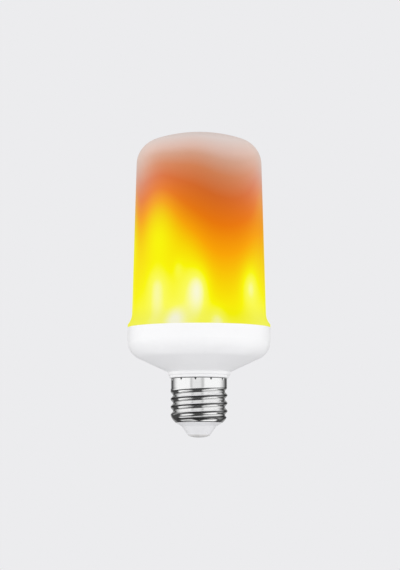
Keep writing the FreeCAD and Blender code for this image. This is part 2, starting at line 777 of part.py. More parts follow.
def make_edge_solder():
    """Solder joints that tie the flexible board to the edge of the round board."""
    body = new_body("edge_solder")
    body.AllowCompound = True
    inner = wrap_radius - size["solder_width"]
    slope = size["solder_width"] / 4
    crest = top_board_level + size["solder_height"]
    joint = revolve(body, "joint", [
        (inner, top_board_level),
        (wrap_radius, top_board_level),
        (wrap_radius - slope, crest),
        (inner + slope, crest),
    ], angle=size["solder_angle"])
    polar(body, "joints", [joint], size["solder_count"])


def make_chip(label, length, pins, upside_down_at, back=0):
    """A small-outline chip with pins on both long sides, hung under a board."""
    body = new_body(label)
    outline = sketch_on(body, "XY_Plane", "case_outline", -size["chip_height"])
    draw_box(outline, 0, 0, length, size["chip_width"])
    pad(body, "case", outline, size["chip_height"] - size["pin_thickness"])
    first = -size["chip_pin_pitch"] * (pins - 1) / 2
    half_span = size["chip_width"] / 2 + size["pin_reach"]
    leg = sketch_on(body, "XY_Plane", "pin_outline", -size["pin_thickness"])
    draw_box(leg, first, 0, size["pin_width"], half_span * 2)
    pin = pad(body, "pin", leg, size["pin_thickness"])
    row(body, "pins", [pin], "X_Axis", size["chip_pin_pitch"], pins)
    place(body, back=back, up=upside_down_at)


def make_foot_screws():
    """Pan-head screws that hold the column's foot on the posts."""
    body = new_body("foot_screws")
    body.AllowCompound = True
    shank = sketch_on(body, "XY_Plane", "shank_outline", foot_top_level)
    draw_circle(shank, 0, -post_circle, size["screw_radius"])
    shank_pad = pad(body, "shank", shank, size["screw_length"], down=True)
    head = sketch_on(body, "XY_Plane", "head_outline", foot_top_level)
    draw_circle(head, 0, -post_circle, size["screw_head_radius"])
    head_pad = pad(body, "head", head, size["screw_head_height"])
    cross = sketch_on(body, "XY_Plane", "slot_outline", foot_top_level + size["screw_head_height"])
    draw_box(cross, 0, -post_circle, size["screw_slot_width"], size["screw_slot_length"])
    slot = pocket(body, "slot", cross, size["screw_slot_depth"])
    across = sketch_on(body, "XY_Plane", "cross_outline", foot_top_level + size["screw_head_height"])
    draw_box(across, 0, -post_circle, size["screw_slot_length"], size["screw_slot_width"])
    cross_slot = pocket(body, "cross_slot", across, size["screw_slot_depth"])
    polar(body, "screws", [shank_pad, head_pad, slot, cross_slot], size["post_count"])


# Power supply


def make_supply_board():
    """Round board on the bowl's seat, notched round the posts, with holes for leads and pins."""
    body = new_body("driver_board")
    disc = sketch_on(body, "XY_Plane", "board_outline", supply_level)
    draw_circle(disc, 0, 0, size["board_radius"])
    pad(body, "board", disc, size["board_thickness"])
    notch = sketch_on(body, "XY_Plane", "notch_outline", supply_top_level)
    draw_circle(notch, 0, -post_circle, size["post_radius"] + size["post_room"])
    cut = pocket(body, "notch", notch, size["board_thickness"])
    polar(body, "notches", [cut], size["post_count"])
    holes = sketch_on(body, "XY_Plane", "hole_outline", supply_top_level)
    draw_circle(holes, size["mains_hole"], 0, lead_hole)
    draw_circle(holes, -size["mains_hole"], 0, lead_hole)
    draw_circle(holes, size["light_hole"], size["light_hole_back"], lead_hole)
    draw_circle(holes, -size["light_hole"], size["light_hole_back"], lead_hole)
    pocket(body, "lead_holes", holes, size["board_thickness"])
    input_end = -size["input_can_length"] / 2 - size["pin_bend"]
    fuse_end = size["fuse_length"] / 2 + size["pin_bend"]
    pins = sketch_on(body, "XY_Plane", "pin_hole_outline", supply_top_level)
    for across, back in (
        (input_end, -size["input_can_front"] - size["input_pin_spread"]),
        (input_end, -size["input_can_front"] + size["input_pin_spread"]),
        (-size["output_can_left"], size["side_part_back"] - size["can_pin_spread"]),
        (-size["output_can_left"], size["side_part_back"] + size["can_pin_spread"]),
        (size["choke_right"], size["side_part_back"] - size["choke_pin_spread"]),
        (size["choke_right"], size["side_part_back"] + size["choke_pin_spread"]),
        (-size["film_pin_spread"], size["film_back"]),
        (size["film_pin_spread"], size["film_back"]),
        (-fuse_end, -size["fuse_front"]),
        (fuse_end, -size["fuse_front"]),
    ):
        draw_circle(pins, across, back, size["pin_radius"] + size["pin_fit"])
    pocket(body, "pin_holes", pins, size["board_thickness"])


def add_pin(body, across, back):
    """A straight round pin of a component, from its foot down through the board."""
    sketch = sketch_on(body, "XY_Plane", "pin_outline")
    draw_circle(sketch, across, back, size["pin_radius"])
    return pad(body, "pin", sketch, pin_depth, down=True)


def add_bent_wire(body, name, corners, aside=0):
    """A round wire of a component, bent along a path that starts straight up from the body's level plane."""
    path = sketch_on(body, "XZ_Plane", name + "_path", aside)
    draw_path(path, corners)
    start = Corner(*corners[0])
    outline = sketch_on(body, "XY_Plane", name + "_outline", start.up)
    draw_circle(outline, start.across, -aside, size["pin_radius"])
    wire = body.newObject("PartDesign::AdditivePipe", name)
    wire.Profile = outline
    wire.Spine = (path, [f"Edge{number}" for number in range(1, 2 * len(corners) - 2)])
    return wire


def can_section(radius, length):
    """Section of an electrolytic capacitor's can, with the groove rolled in near its seal."""
    groove_low = size["can_groove_place"] - size["can_groove_width"] / 2
    groove_high = size["can_groove_place"] + size["can_groove_width"] / 2
    return [
        (0, 0),
        (radius, 0),
        (radius, groove_low),
        (radius - size["can_groove"], size["can_groove_place"]),
        (radius, groove_high),
        (radius, length),
        (0, length),
    ]


def make_input_capacitor():
    """Input capacitor, laid on the board with its axis across the lamp."""
    body = new_body("input_capacitor")
    revolve(body, "can", can_section(size["input_can_radius"], size["input_can_length"]))
    for name, side in (("positive_pin", 1), ("negative_pin", -1)):
        add_bent_wire(body, name, [
            (0, size["pin_radius"]),
            Corner(0, -size["pin_bend"], rounding=size["bend_radius"]),
            (size["input_can_radius"] + pin_depth, -size["pin_bend"]),
        ], size["input_pin_spread"] * side)
    place(body, -size["input_can_length"] / 2, -size["input_can_front"],
          supply_top_level + size["input_can_radius"])
    body.Placement.Rotation = FreeCAD.Rotation(FreeCAD.Vector(0, 1, 0), 90)


def make_output_capacitor():
    """Output capacitor, upright on the board."""
    body = new_body("output_capacitor")
    revolve(body, "can", can_section(size["output_can_radius"], size["output_can_height"]))
    pin = add_pin(body, 0, size["can_pin_spread"])
    mirror(body, "pins", [pin], "XZ_Plane")
    place(body, -size["output_can_left"], size["side_part_back"], supply_top_level)


def make_choke():
    """Drum choke: a ferrite core with two flanges, and the winding between them."""
    core = new_body("choke_core")
    winding_top = size["choke_height"] - size["choke_flange"]
    revolve(core, "core", [
        (0, 0),
        (size["choke_radius"], 0),
        (size["choke_radius"], size["choke_flange"]),
        (size["choke_core_radius"], size["choke_flange"]),
        (size["choke_core_radius"], winding_top),
        (size["choke_radius"], winding_top),
        (size["choke_radius"], size["choke_height"]),
        (0, size["choke_height"]),
    ])
    pin = add_pin(core, 0, size["choke_pin_spread"])
    mirror(core, "pins", [pin], "XZ_Plane")
    winding = new_body("choke_winding")
    revolve(winding, "winding", [
        (size["choke_core_radius"], size["choke_flange"]),
        (size["winding_radius"], size["choke_flange"]),
        (size["winding_radius"], winding_top),
        (size["choke_core_radius"], winding_top),
    ])
    for body in (core, winding):
        place(body, size["choke_right"], size["side_part_back"], supply_top_level)


def make_film_capacitor():
    """Boxed film capacitor."""
    body = new_body("film_capacitor")
    outline = sketch_on(body, "XY_Plane", "case_outline")
    draw_box(outline, 0, 0, size["film_length"], size["film_width"])
    case = pad(body, "case", outline, size["film_height"])
    doc.recompute()
    upright = [
        f"Edge{number}"
        for number, edge in enumerate(case.Shape.Edges, 1)
        if abs(edge.tangentAt(edge.FirstParameter).z) > 0.99
    ]
    rounded = body.newObject("PartDesign::Fillet", "case_round")
    rounded.Base = (case, upright)
    rounded.setExpression("Radius", size["film_round"].text)
    pin = add_pin(body, size["film_pin_spread"], 0)
    mirror(body, "pins", [pin], "YZ_Plane")
    place(body, back=size["film_back"], up=supply_top_level)


def make_fusible_resistor():
    """Fusible resistor, laid across the board on its two bent leads."""
    body = new_body("fusible_resistor")
    revolve(body, "sleeve", [
        (0, 0),
        (size["fuse_radius"] - size["fuse_round"], 0),
        (size["fuse_radius"], size["fuse_round"]),
        (size["fuse_radius"], size["fuse_length"] - size["fuse_round"]),
        (size["fuse_radius"] - size["fuse_round"], size["fuse_length"]),
        (0, size["fuse_length"]),
    ])
    far_end = size["fuse_length"] + size["pin_bend"]
    leg_end = size["fuse_lift"] + size["fuse_radius"] + pin_depth
    for name, inside, bend in (
        ("near_wire", size["pin_radius"], -size["pin_bend"]),
        ("far_wire", size["fuse_length"] - size["pin_radius"], far_end),
    ):
        add_bent_wire(body, name, [
            (0, inside),
            Corner(0, bend, rounding=size["bend_radius"]),
            (leg_end, bend),
        ])
    place(body, -size["fuse_length"] / 2, -size["fuse_front"],
          supply_top_level + size["fuse_lift"] + size["fuse_radius"])
    body.Placement.Rotation = FreeCAD.Rotation(FreeCAD.Vector(0, 1, 0), 90)


def make_bridge_rectifier():
    """Bridge rectifier under the board, on four flat pins."""
    body = new_body("bridge_rectifier")
    outline = sketch_on(body, "XY_Plane", "case_outline", -size["bridge_height"])
    draw_box(outline, 0, 0, size["bridge_length"], size["bridge_width"])
    pad(body, "case", outline, size["bridge_height"] - size["pin_thickness"])
    leg = sketch_on(body, "XY_Plane", "pin_outline", -size["pin_thickness"])
    draw_box(leg, -size["bridge_pin_spread"] / 2, 0, size["pin_width"],
             size["bridge_width"] + size["pin_reach"] * 2)
    pin = pad(body, "pin", leg, size["pin_thickness"])
    mirror(body, "pins", [pin], "YZ_Plane")
    place(body, back=-size["bridge_front"], up=supply_level)


# Leads


def make_lead(label, places):
    """An insulated lead through the places, straight between bends that are as wide as the runs allow."""
    points = [FreeCAD.Vector(*(sized(value).number for value in point)) for point in places]
    edges = []
    reached = points[0]
    for before, corner, after in zip(points, points[1:], points[2:]):
        reach = 0.45 * min((corner - before).Length, (after - corner).Length)
        arriving = (corner - before).normalize()
        leaving = (after - corner).normalize()
        half_turn = arriving.getAngle(leaving) / 2
        radius = reach / math.tan(half_turn)
        inward = (leaving - arriving).normalize()
        bend_start = corner - arriving * reach
        bend_middle = corner + inward * (radius / math.cos(half_turn) - radius)
        bend_end = corner + leaving * reach
        print(label, "bend radius", round(radius, 2))
        edges.append(Part.LineSegment(reached, bend_start).toShape())
        edges.append(Part.Arc(bend_start, bend_middle, bend_end).toShape())
        reached = bend_end
    edges.append(Part.LineSegment(reached, points[-1]).toShape())
    ring = Part.Circle(points[0], points[1] - points[0], size["lead_radius"].number)
    lead = doc.addObject("Part::Feature", label)
    lead.Label = label
    lead.Shape = Part.Wire(edges).makePipeShell([Part.Wire(ring.toShape())], True, True)


def make_leads():
    """Mains leads from the cap to the supply board, and light leads from there to the round board."""
    board_end = supply_top_level + size["lead_tail"]
    lean_end = plug_level + size["mains_run"] + size["mains_climb"]
    contact_hole = plug_level + size["stem_tail"] - size["stem_bore_depth"] + size["live_lead_gap"]
    make_lead("live_lead", [
        (0, 0, contact_hole),
        (0, 0, plug_level + size["mains_run"]),
        (size["mains_hole"], 0, lean_end),
        (size["mains_hole"], 0, board_end),
    ])
    shell_side = shell_bore - size["lead_radius"] / 4
    low = plug_level + size["notch_height"] / 2
    make_lead("neutral_lead", [
        (-shell_side, 0, low),
        (-(neck_bore - size["lead_radius"] * 3), 0, low),
        (-size["mains_hole"], 0, lean_end),
        (-size["mains_hole"], 0, board_end),
    ])
    board_start = supply_level - size["lead_tail"]
    for label, side in (("light_lead_positive", 1), ("light_lead_negative", -1)):
        across = size["light_hole"] * side
        back = size["light_hole_back"]
        make_lead(label, [
            (across, back, board_start),
            (across, back, joint_level),
            (across, back + size["lead_slack"], joint_level + size["column_rise"] / 2),
            (across, back, column_level),
        ])


def make_all():
    """Makes every sub-part."""
    make_contact()
    make_insulator()
    make_screw_shell()
    make_housing()
    make_diffuser()
    make_column()
    make_wrap_board()
    make_side_leds()
    make_top_board()
    make_top_leds()
    make_edge_solder()
    make_chip("control_chip", size["chip_length"], size["chip_pins"], column_level)
    make_foot_screws()
    make_supply_board()
    make_input_capacitor()
    make_output_capacitor()
    make_choke()
    make_film_capacitor()
    make_fusible_resistor()
    make_bridge_rectifier()
    make_chip("driver_chip", size["driver_chip_length"], size["driver_chip_pins"], supply_level,
              size["driver_chip_back"])
    make_leads()


def export_all():
    """Checks every object and writes each sub-part to its own file."""
    doc.recompute()
    for item in doc.Objects:
        if "Invalid" in item.State or "Error" in item.State:
            raise RuntimeError(f"{item.Label} did not build: {item.State}")
    pieces = [item for item in doc.Objects
              if item.TypeId == "PartDesign::Body" or item.TypeId == "Part::Feature"]
    for piece in pieces:
        if piece.Shape.isNull() or not piece.Shape.isValid() or not piece.Shape.Solids:
            raise RuntimeError(f"{piece.Label} has no valid solid")
    os.makedirs("parts", exist_ok=True)
    for piece in pieces:
        piece.Shape.exportStep(f"parts/{piece.Label}.step")
        print(piece.Label, len(piece.Shape.Solids), round(piece.Shape.Volume, 2))


make_all()
export_all()
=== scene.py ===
"""Looks of a flame effect lamp.

A frosted cover is lit by a flame pattern, over a moulded bowl and a rolled nickel cap. Sizes are in
millimetres and angles in degrees, unless a line says otherwise.
"""

import logging
import math
from dataclasses import dataclass
from enum import Enum
from typing import Union

import bpy
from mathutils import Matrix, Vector


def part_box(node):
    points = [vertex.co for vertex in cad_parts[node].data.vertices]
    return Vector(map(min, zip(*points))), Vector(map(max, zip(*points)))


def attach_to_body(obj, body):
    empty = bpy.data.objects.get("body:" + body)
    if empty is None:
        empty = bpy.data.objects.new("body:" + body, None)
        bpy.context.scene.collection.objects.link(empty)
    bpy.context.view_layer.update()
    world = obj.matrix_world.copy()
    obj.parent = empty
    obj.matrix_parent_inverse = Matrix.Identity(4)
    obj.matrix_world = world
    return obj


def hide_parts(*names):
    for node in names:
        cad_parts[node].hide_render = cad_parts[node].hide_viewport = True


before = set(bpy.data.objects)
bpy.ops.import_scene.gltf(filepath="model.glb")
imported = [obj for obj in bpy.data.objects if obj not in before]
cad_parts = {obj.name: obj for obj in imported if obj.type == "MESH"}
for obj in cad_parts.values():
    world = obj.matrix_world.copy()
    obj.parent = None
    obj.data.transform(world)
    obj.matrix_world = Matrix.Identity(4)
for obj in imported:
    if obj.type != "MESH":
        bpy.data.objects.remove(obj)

MM = 0.001
BODY = "root"
log = logging.getLogger("lamp")

Colour = tuple[float, float, float]
Size = tuple[float, float, float]
Value = Union["Signal", float, int, bool, str, tuple, bpy.types.Material]


def srgb(red: int, green: int, blue: int) -> Colour:
    """Turns a colour as a screen shows it into the linear colour that a shader takes.

    Args:
        red: its red, 0 to 255.
        green: its green, likewise.
        blue: its blue, likewise.

    Returns:
        The linear colour, 0 to 1 a channel.
    """
    def linear(channel: int) -> float:
        """Linear value of one channel."""
        share = channel / 255
        return share / 12.92 if share <= 0.04045 else ((share + 0.055) / 1.055) ** 2.4
    return linear(red), linear(green), linear(blue)


def scaled(colour: Colour, share: float) -> Colour:
    """A colour made darker, or lighter, by one factor."""
    return tuple(channel * share for channel in colour)


class Signal:
    """A value on its way through a node tree, with the usual arithmetic."""

    def __init__(self, sheet: "NodeSheet", socket: bpy.types.NodeSocket) -> None:
        """Keeps the sheet that the value is on and the socket that it comes out of."""
        self.sheet = sheet
        self.socket = socket

    def __add__(self, other: Value) -> "Signal":
        """Sum."""
        return self.sheet.maths("ADD", self, other)

    def __radd__(self, other: Value) -> "Signal":
        """Sum with a number on the left."""
        return self.sheet.maths("ADD", other, self)

    def __sub__(self, other: Value) -> "Signal":
        """Difference."""
        return self.sheet.maths("SUBTRACT", self, other)

    def __rsub__(self, other: Value) -> "Signal":
        """Difference from a number on the left."""
        return self.sheet.maths("SUBTRACT", other, self)

    def __mul__(self, other: Value) -> "Signal":
        """Product."""
        return self.sheet.maths("MULTIPLY", self, other)

    def __rmul__(self, other: Value) -> "Signal":
        """Product with a number on the left."""
        return self.sheet.maths("MULTIPLY", other, self)

    def __truediv__(self, other: Value) -> "Signal":
        """Quotient."""
        return self.sheet.maths("DIVIDE", self, other)

    def __pow__(self, other: Value) -> "Signal":
        """Power."""
        return self.sheet.maths("POWER", self, other)

    def __neg__(self) -> "Signal":
        """The value with its sign turned."""
        return self.sheet.maths("MULTIPLY", self, -1.0)

    def __abs__(self) -> "Signal":
        """The value without its sign."""
        return self.sheet.maths("ABSOLUTE", self)

    def fraction(self) -> "Signal":
        """What is left over from the whole number below."""
        return self.sheet.maths("FRACT", self)

    def nearest(self) -> "Signal":
        """The nearest whole number."""
        return self.sheet.maths("ROUND", self)

    def lesser(self, other: Value) -> "Signal":
        """The lesser of two values."""
        return self.sheet.maths("MINIMUM", self, other)

    def greater(self, other: Value) -> "Signal":
        """The greater of two values."""
        return self.sheet.maths("MAXIMUM", self, other)


class NodeSheet:
    """One node tree, of a material or of a shape, filled by method calls."""

    def __init__(self, tree: bpy.types.NodeTree) -> None:
        """Takes a tree and empties it."""
        self.tree = tree
        self.tree.nodes.clear()

    def node(self, kind: str, settings: dict | None = None, sockets: dict | None = None) -> bpy.types.Node:
        """Adds one node.

        Args:
            kind: the node's type.
            settings: its own settings, and under the key stops the stops of its ramp.
            sockets: a value or a Signal for each input, by name or number.

        Returns:
            The node.
        """
        node = self.tree.nodes.new(kind)
        for name, value in (settings or {}).items():
            if name == "stops":
                self.set_stops(node.color_ramp, value)
            else:
                setattr(node, name, value)
        for key, value in (sockets or {}).items():
            self.feed(node.inputs[key], value)
        return node

    def add(self, kind: str, settings: dict | None = None, sockets: dict | None = None,
            output: int | str = 0) -> Signal:
        """Adds one node and gives one of its outputs as a Signal."""
        return Signal(self, self.node(kind, settings, sockets).outputs[output])

    def feed(self, socket: bpy.types.NodeSocket, value: Value) -> None:
        """Links a Signal to a socket, or writes a plain value on it.

        Args:
            socket: the input to feed.
            value: a Signal, or a plain value of the socket's kind. A colour may leave out its alpha.
        """
        if isinstance(value, Signal):
            self.tree.links.new(value.socket, socket)
        elif isinstance(value, tuple) and socket.type == "RGBA" and len(value) == 3:
            socket.default_value = (*value, 1.0)
        else:
            socket.default_value = value

    @staticmethod
    def set_stops(ramp: bpy.types.ColorRamp, stops: list[tuple[float, Colour]]) -> None:
        """Gives a ramp its stops.

        Args:
            ramp: a new ramp.
            stops: the place and the colour of each stop, from low to high.
        """
        while len(ramp.elements) < len(stops):
            ramp.elements.new(1.0)
        for element, (place, colour) in zip(ramp.elements, stops):
            element.position = place
            element.color = (*colour, 1.0)

    def maths(self, operation: str, *values: Value) -> Signal:
        """Adds one Math node."""
        return self.add("ShaderNodeMath", {"operation": operation}, dict(enumerate(values)))

    def clamp(self, value: Value) -> Signal:
        """Holds a value between 0 and 1."""
        return self.add("ShaderNodeClamp", sockets={0: value})

    def rise(self, value: Value, low: float, high: float) -> Signal:
        """A smooth step from 0 at low to 1 at high."""
        return self.add("ShaderNodeMapRange", {"interpolation_type": "SMOOTHSTEP"},
                        {"Value": value, "From Min": low, "From Max": high})

    def mix(self, share: Value, first: Value, second: Value) -> Signal:
        """Mixes two colours."""
        return self.add("ShaderNodeMix", {"data_type": "RGBA"}, {0: share, 6: first, 7: second}, output=2)

    def split(self, vector: Value) -> tuple[Signal, Signal, Signal]:
        """The three parts of a vector."""
        node = self.node("ShaderNodeSeparateXYZ", sockets={0: vector})
        return tuple(Signal(self, output) for output in node.outputs)

    def place(self) -> Signal:
        """The point on the lamp that is being shaded, in millimetres."""
        point = self.add("ShaderNodeTexCoord", output="Object")
        return self.add("ShaderNodeVectorMath", {"operation": "SCALE"}, {0: point, "Scale": 1 / MM})

    def round_place(self) -> tuple[Signal, Signal, Signal]:
        """The same point in terms of the lamp's axis.

        Returns:
            Its angle in degrees from the right-hand side, its radius and its height.
        """
        across, along, height = self.split(self.place())
        radius = (across * across + along * along) ** 0.5
        return self.maths("ARCTAN2", along, across) * math.degrees(1), radius, height

    def tinted(self, colour: Value, share: Value) -> Signal:
        """A colour made darker by a factor that varies."""
        return self.add("ShaderNodeVectorMath", {"operation": "SCALE"}, {0: colour, "Scale": share})

    def noise(self, grain: float, detail: float = 2.0, point: Value | None = None) -> Signal:
        """Soft noise about 0.5.

        Args:
            grain: how wide its lumps are, in millimetres.
            detail: how many finer layers it has.
            point: where it is read, or None for the point on the lamp.

        Returns:
            The noise.
        """
        return self.add("ShaderNodeTexNoise", sockets={
            "Vector": self.place() if point is None else point,
            "Scale": 1 / grain,
            "Detail": detail,
        })

    def bump(self, height: Value, strength: float, distance: float = 0.05) -> Signal:
        """The normal of a surface whose height varies.

        Args:
            height: the height, 0 to 1.
            strength: how much of the relief shows, 0 to 1.
            distance: the height of 1, in millimetres.

        Returns:
            The normal.
        """
        return self.add("ShaderNodeBump", sockets={
            "Height": height,
            "Strength": strength,
            "Distance": distance * MM,
        })


@dataclass(frozen=True)
class ScrewThread:
    """A knuckle thread rolled into the cap's shell, in millimetres and degrees."""

    crest_radius: float = 13.1
    groove_depth: float = 1.1
    pitch: float = 3.629
    start_height: float = 8.85
    start_angle: float = 205.5
    turns: float = 3.75
    run_out: float = 0.14

    def turn(self, angle: Signal) -> Signal:
        """How far round from the thread's start an angle in degrees is, as a share of a turn."""
        return ((angle - self.start_angle) / 360).fraction()

    def phase(self, angle: Signal, height: Signal) -> Signal:
        """Whole numbers along the grooves and halves along the crests, at an angle and a height."""
        return (height - self.start_height) / self.pitch - self.turn(angle)

    def presence(self, sheet: NodeSheet, angle: Signal, height: Signal) -> Signal:
        """Where the thread is, fading out at its two run-outs.

        Args:
            sheet: the tree of the shape or the material.
            angle: the angle, in degrees.
            height: the height, in millimetres.

        Returns:
            1 along the thread and 0 past its ends.
        """
        along = self.phase(angle, height).nearest() + self.turn(angle)
        start = sheet.rise(along, -self.run_out / 2, self.run_out)
        end = sheet.rise(along, self.turns + self.run_out / 2, self.turns - self.run_out)
        return start * end

    def hollow(self, sheet: NodeSheet, angle: Signal, height: Signal) -> Signal:
        """How deep the groove is at an angle and a height, in millimetres."""
        wave = sheet.maths("COSINE", self.phase(angle, height) * (2 * math.pi))
        return (wave * 0.5 + 0.5) * self.groove_depth * self.presence(sheet, angle, height)


@dataclass(frozen=True)
class CrimpDents:
    """Small wedges punched into the top of the shell, which hold it on the bowl's neck."""

    count: int = 11
    first_angle: float = -64.5
    top: float = 27.15
    width: float = 1.5
    height: float = 1.3
    depth: float = 0.32
    shell_radius: float = 12.9
    flank: float = 0.25
    top_flank: tuple[float, float] = (-0.05, 0.15)

    def share(self, sheet: NodeSheet, angle: Signal, height: Signal) -> Signal:
        """How deep the shell is dented.

        Args:
            sheet: the tree of the shape or the material.
            angle: the angle, in degrees.
            height: the height, in millimetres.

        Returns:
            0 on the plain shell, to 1 in the middle of a dent.
        """
        step = 360 / self.count
        off_centre = abs((((angle - self.first_angle) / step) + 0.5).fraction() - 0.5) * step
        sideways = off_centre * (math.radians(1) * self.shell_radius)
        below = self.top - height
        width = (1 - below / self.height) * (self.width / 2)
        return sheet.rise(width - sideways, 0.0, self.flank) * sheet.rise(below, *self.top_flank)


@dataclass(frozen=True)
class Finish:
    """One material of the lamp."""

    name: str

    def surface(self, sheet: NodeSheet) -> dict[str, Value]:
        """What the finish gives the shader.

        Args:
            sheet: the material's tree.

        Returns:
            What goes to each socket of the shader.
        """
        raise NotImplementedError

    def make(self) -> bpy.types.Material:
        """Builds the material.

        Returns:
            The new material.
        """
        material = bpy.data.materials.new(self.name)
        material.use_nodes = True
        sheet = NodeSheet(material.node_tree)
        shader = sheet.add("ShaderNodeBsdfPrincipled", sockets=self.surface(sheet))
        sheet.node("ShaderNodeOutputMaterial", sockets={"Surface": shader})
        return material


@dataclass(frozen=True)
class Moulded(Finish):
    """Moulded plastic with a fine spark-eroded grain."""

    colour: Colour = srgb(240, 240, 238)
    roughness: float = 0.42
    grain: float = 0.35
    relief: float = 0.12
    mottle: float = 0.03
    flow: float = 9.0
    gloss_spread: float = 0.18

    def surface(self, sheet: NodeSheet) -> dict[str, Value]:
        """Even colour, with faint flow marks, and a grain that breaks up the gloss.

        Args:
            sheet: the material's tree.

        Returns:
            What goes to each socket of the shader.
        """
        flow = sheet.noise(self.flow)
        grain = sheet.noise(self.grain, 3.0)
        return {
            "Base Color": sheet.mix(flow, scaled(self.colour, 1 - self.mottle), self.colour),
            "Roughness": self.roughness + (grain - 0.5) * self.gloss_spread,
            "Normal": sheet.bump(grain, self.relief),
        }


@dataclass(frozen=True)
class Metal(Finish):
    """Plain metal with fine scratches and a cloudy polish."""

    colour: Colour = srgb(205, 205, 205)
    roughness: float = 0.3
    relief: float = 0.1
    polish: float = 1.0
    cloud: float = 2.5
    scratch: float = 0.25
    scratch_depth: float = 0.02
    dull: float = 0.85
    gloss_spread: float = 0.25

    def surface(self, sheet: NodeSheet) -> dict[str, Value]:
        """Cloudy polish under fine scratches.

        Args:
            sheet: the material's tree.

        Returns:
            What goes to each socket of the shader.
        """
        cloud = sheet.noise(self.cloud, 4.0)
        scratch = sheet.noise(self.scratch)
        return {
            "Base Color": sheet.mix(cloud, scaled(self.colour, self.dull), self.colour),
            "Metallic": self.polish,
            "Roughness": self.roughness + (cloud - 0.5) * self.gloss_spread,
            "Normal": sheet.bump(scratch, self.relief, self.scratch_depth),
        }


@dataclass(frozen=True)
class CircuitBoard(Finish):
    """Board with solder mask, over copper areas that thin gaps divide on its underside."""

    mask: Colour = srgb(28, 88, 54)
    copper: Colour = srgb(60, 122, 66)
    island: float = 5.5
    gap: float = 0.3
    copper_below: float = 1000.0
    unevenness: float = 0.75
    weave: float = 0.6
    weave_share: float = 0.2
    copper_depth: float = 0.05
    relief: float = 0.6
    roughness: float = 0.34
    coat: float = 0.25

    def surface(self, sheet: NodeSheet) -> dict[str, Value]:
        """Copper areas show lighter under the mask, and stand out by their thickness.

        Args:
            sheet: the material's tree.

        Returns:
            What goes to each socket of the shader.
        """
        edge = sheet.add("ShaderNodeTexVoronoi", {"feature": "DISTANCE_TO_EDGE"}, {
            "Vector": sheet.place(), "Scale": 1 / self.island, "Randomness": self.unevenness,
        })
        height = sheet.split(sheet.place())[2]
        track = sheet.rise(edge * self.island, self.gap * 0.5, self.gap * 0.9)
        track = track * sheet.rise(height, self.copper_below, self.copper_below - 0.1)
        weave = sheet.noise(self.weave)
        shade = track * (1 - self.weave_share) + weave * self.weave_share
        return {
            "Base Color": sheet.mix(shade, self.mask, self.copper),
            "Roughness": self.roughness + (weave - 0.5) * 0.15,
            "Coat Weight": self.coat,
            "Normal": sheet.bump(track + weave * self.weave_share, self.relief, self.copper_depth),
        }


@dataclass(frozen=True)
class FlexBoard(Finish):
    """Flexible board with white mask, and upright copper tracks between its rows of LEDs."""

    mask: Colour = srgb(234, 234, 226)
    track: Colour = srgb(206, 208, 190)
    columns: int = 12
    radius: float = 18.65
    spacing: float = 1.1
    width: float = 0.35
    track_depth: float = 0.035
    grain: float = 0.5
    relief: float = 0.5
    roughness: float = 0.45

    def surface(self, sheet: NodeSheet) -> dict[str, Value]:
        """Tracks run up both sides of every row of LEDs and between the rows.

        Args:
            sheet: the material's tree.

        Returns:
            What goes to each socket of the shader.
        """
        angle, _, height = sheet.round_place()
        step = 360 / self.columns
        across = abs((angle / step + 0.5).fraction() - 0.5) * (step * math.radians(1) * self.radius)
        line = abs((across / self.spacing).fraction() - 0.5) * self.spacing
        track = sheet.rise(line, self.width * 0.65, self.width * 0.4)
        unrolled = sheet.add("ShaderNodeCombineXYZ", sockets={0: across, 1: height})
        grain = sheet.noise(self.grain, point=unrolled)
        return {
            "Base Color": sheet.mix(track, self.mask, self.track),
            "Roughness": self.roughness + (grain - 0.5) * 0.2,
            "Normal": sheet.bump(track + grain * 0.15, self.relief, self.track_depth),
        }


class LedLayout(Enum):
    """How LEDs are laid out on their board."""

    ROWS_ROUND_COLUMN = "rows"
    RING_ON_TOP = "ring"


@dataclass(frozen=True)
class LedPackage(Finish):
    """White LED packages with a round yellow phosphor window."""

    layout: LedLayout = LedLayout.ROWS_ROUND_COLUMN
    count: int = 12
    radius: float = 19.3
    first_height: float = 54.5
    pitch: float = 9.057
    start_angle: float = 0.0
    body: Colour = srgb(238, 238, 232)
    phosphor: Colour = srgb(250, 214, 92)
    window: float = 1.2
    rim: float = 0.08
    sunk: float = 0.1
    relief: float = 0.8
    grain: float = 0.25
    dull: float = 0.85
    roughness: float = 0.3

    def surface(self, sheet: NodeSheet) -> dict[str, Value]:
        """A phosphor window in the middle of every package, a little sunk.

        Args:
            sheet: the material's tree.

        Returns:
            What goes to each socket of the shader.
        """
        angle, radius, height = sheet.round_place()
        step = 360 / self.count
        turn = ((angle - self.start_angle) / step + 0.5).fraction() - 0.5
        across = turn * (step * math.radians(1) * self.radius)
        if self.layout is LedLayout.ROWS_ROUND_COLUMN:
            along = (((height - self.first_height) / self.pitch + 0.5).fraction() - 0.5) * self.pitch
        else:
            along = radius - self.radius
        away = (across * across + along * along) ** 0.5
        inside = sheet.rise(away, self.window + self.rim, self.window - self.rim)
        grain = sheet.noise(self.grain)
        colour = sheet.mix(grain, scaled(self.phosphor, self.dull), self.phosphor)
        return {
            "Base Color": sheet.mix(inside, self.body, colour),
            "Roughness": self.roughness + inside * 0.2,
            "Normal": sheet.bump(1 - inside, self.relief, self.sunk),
        }


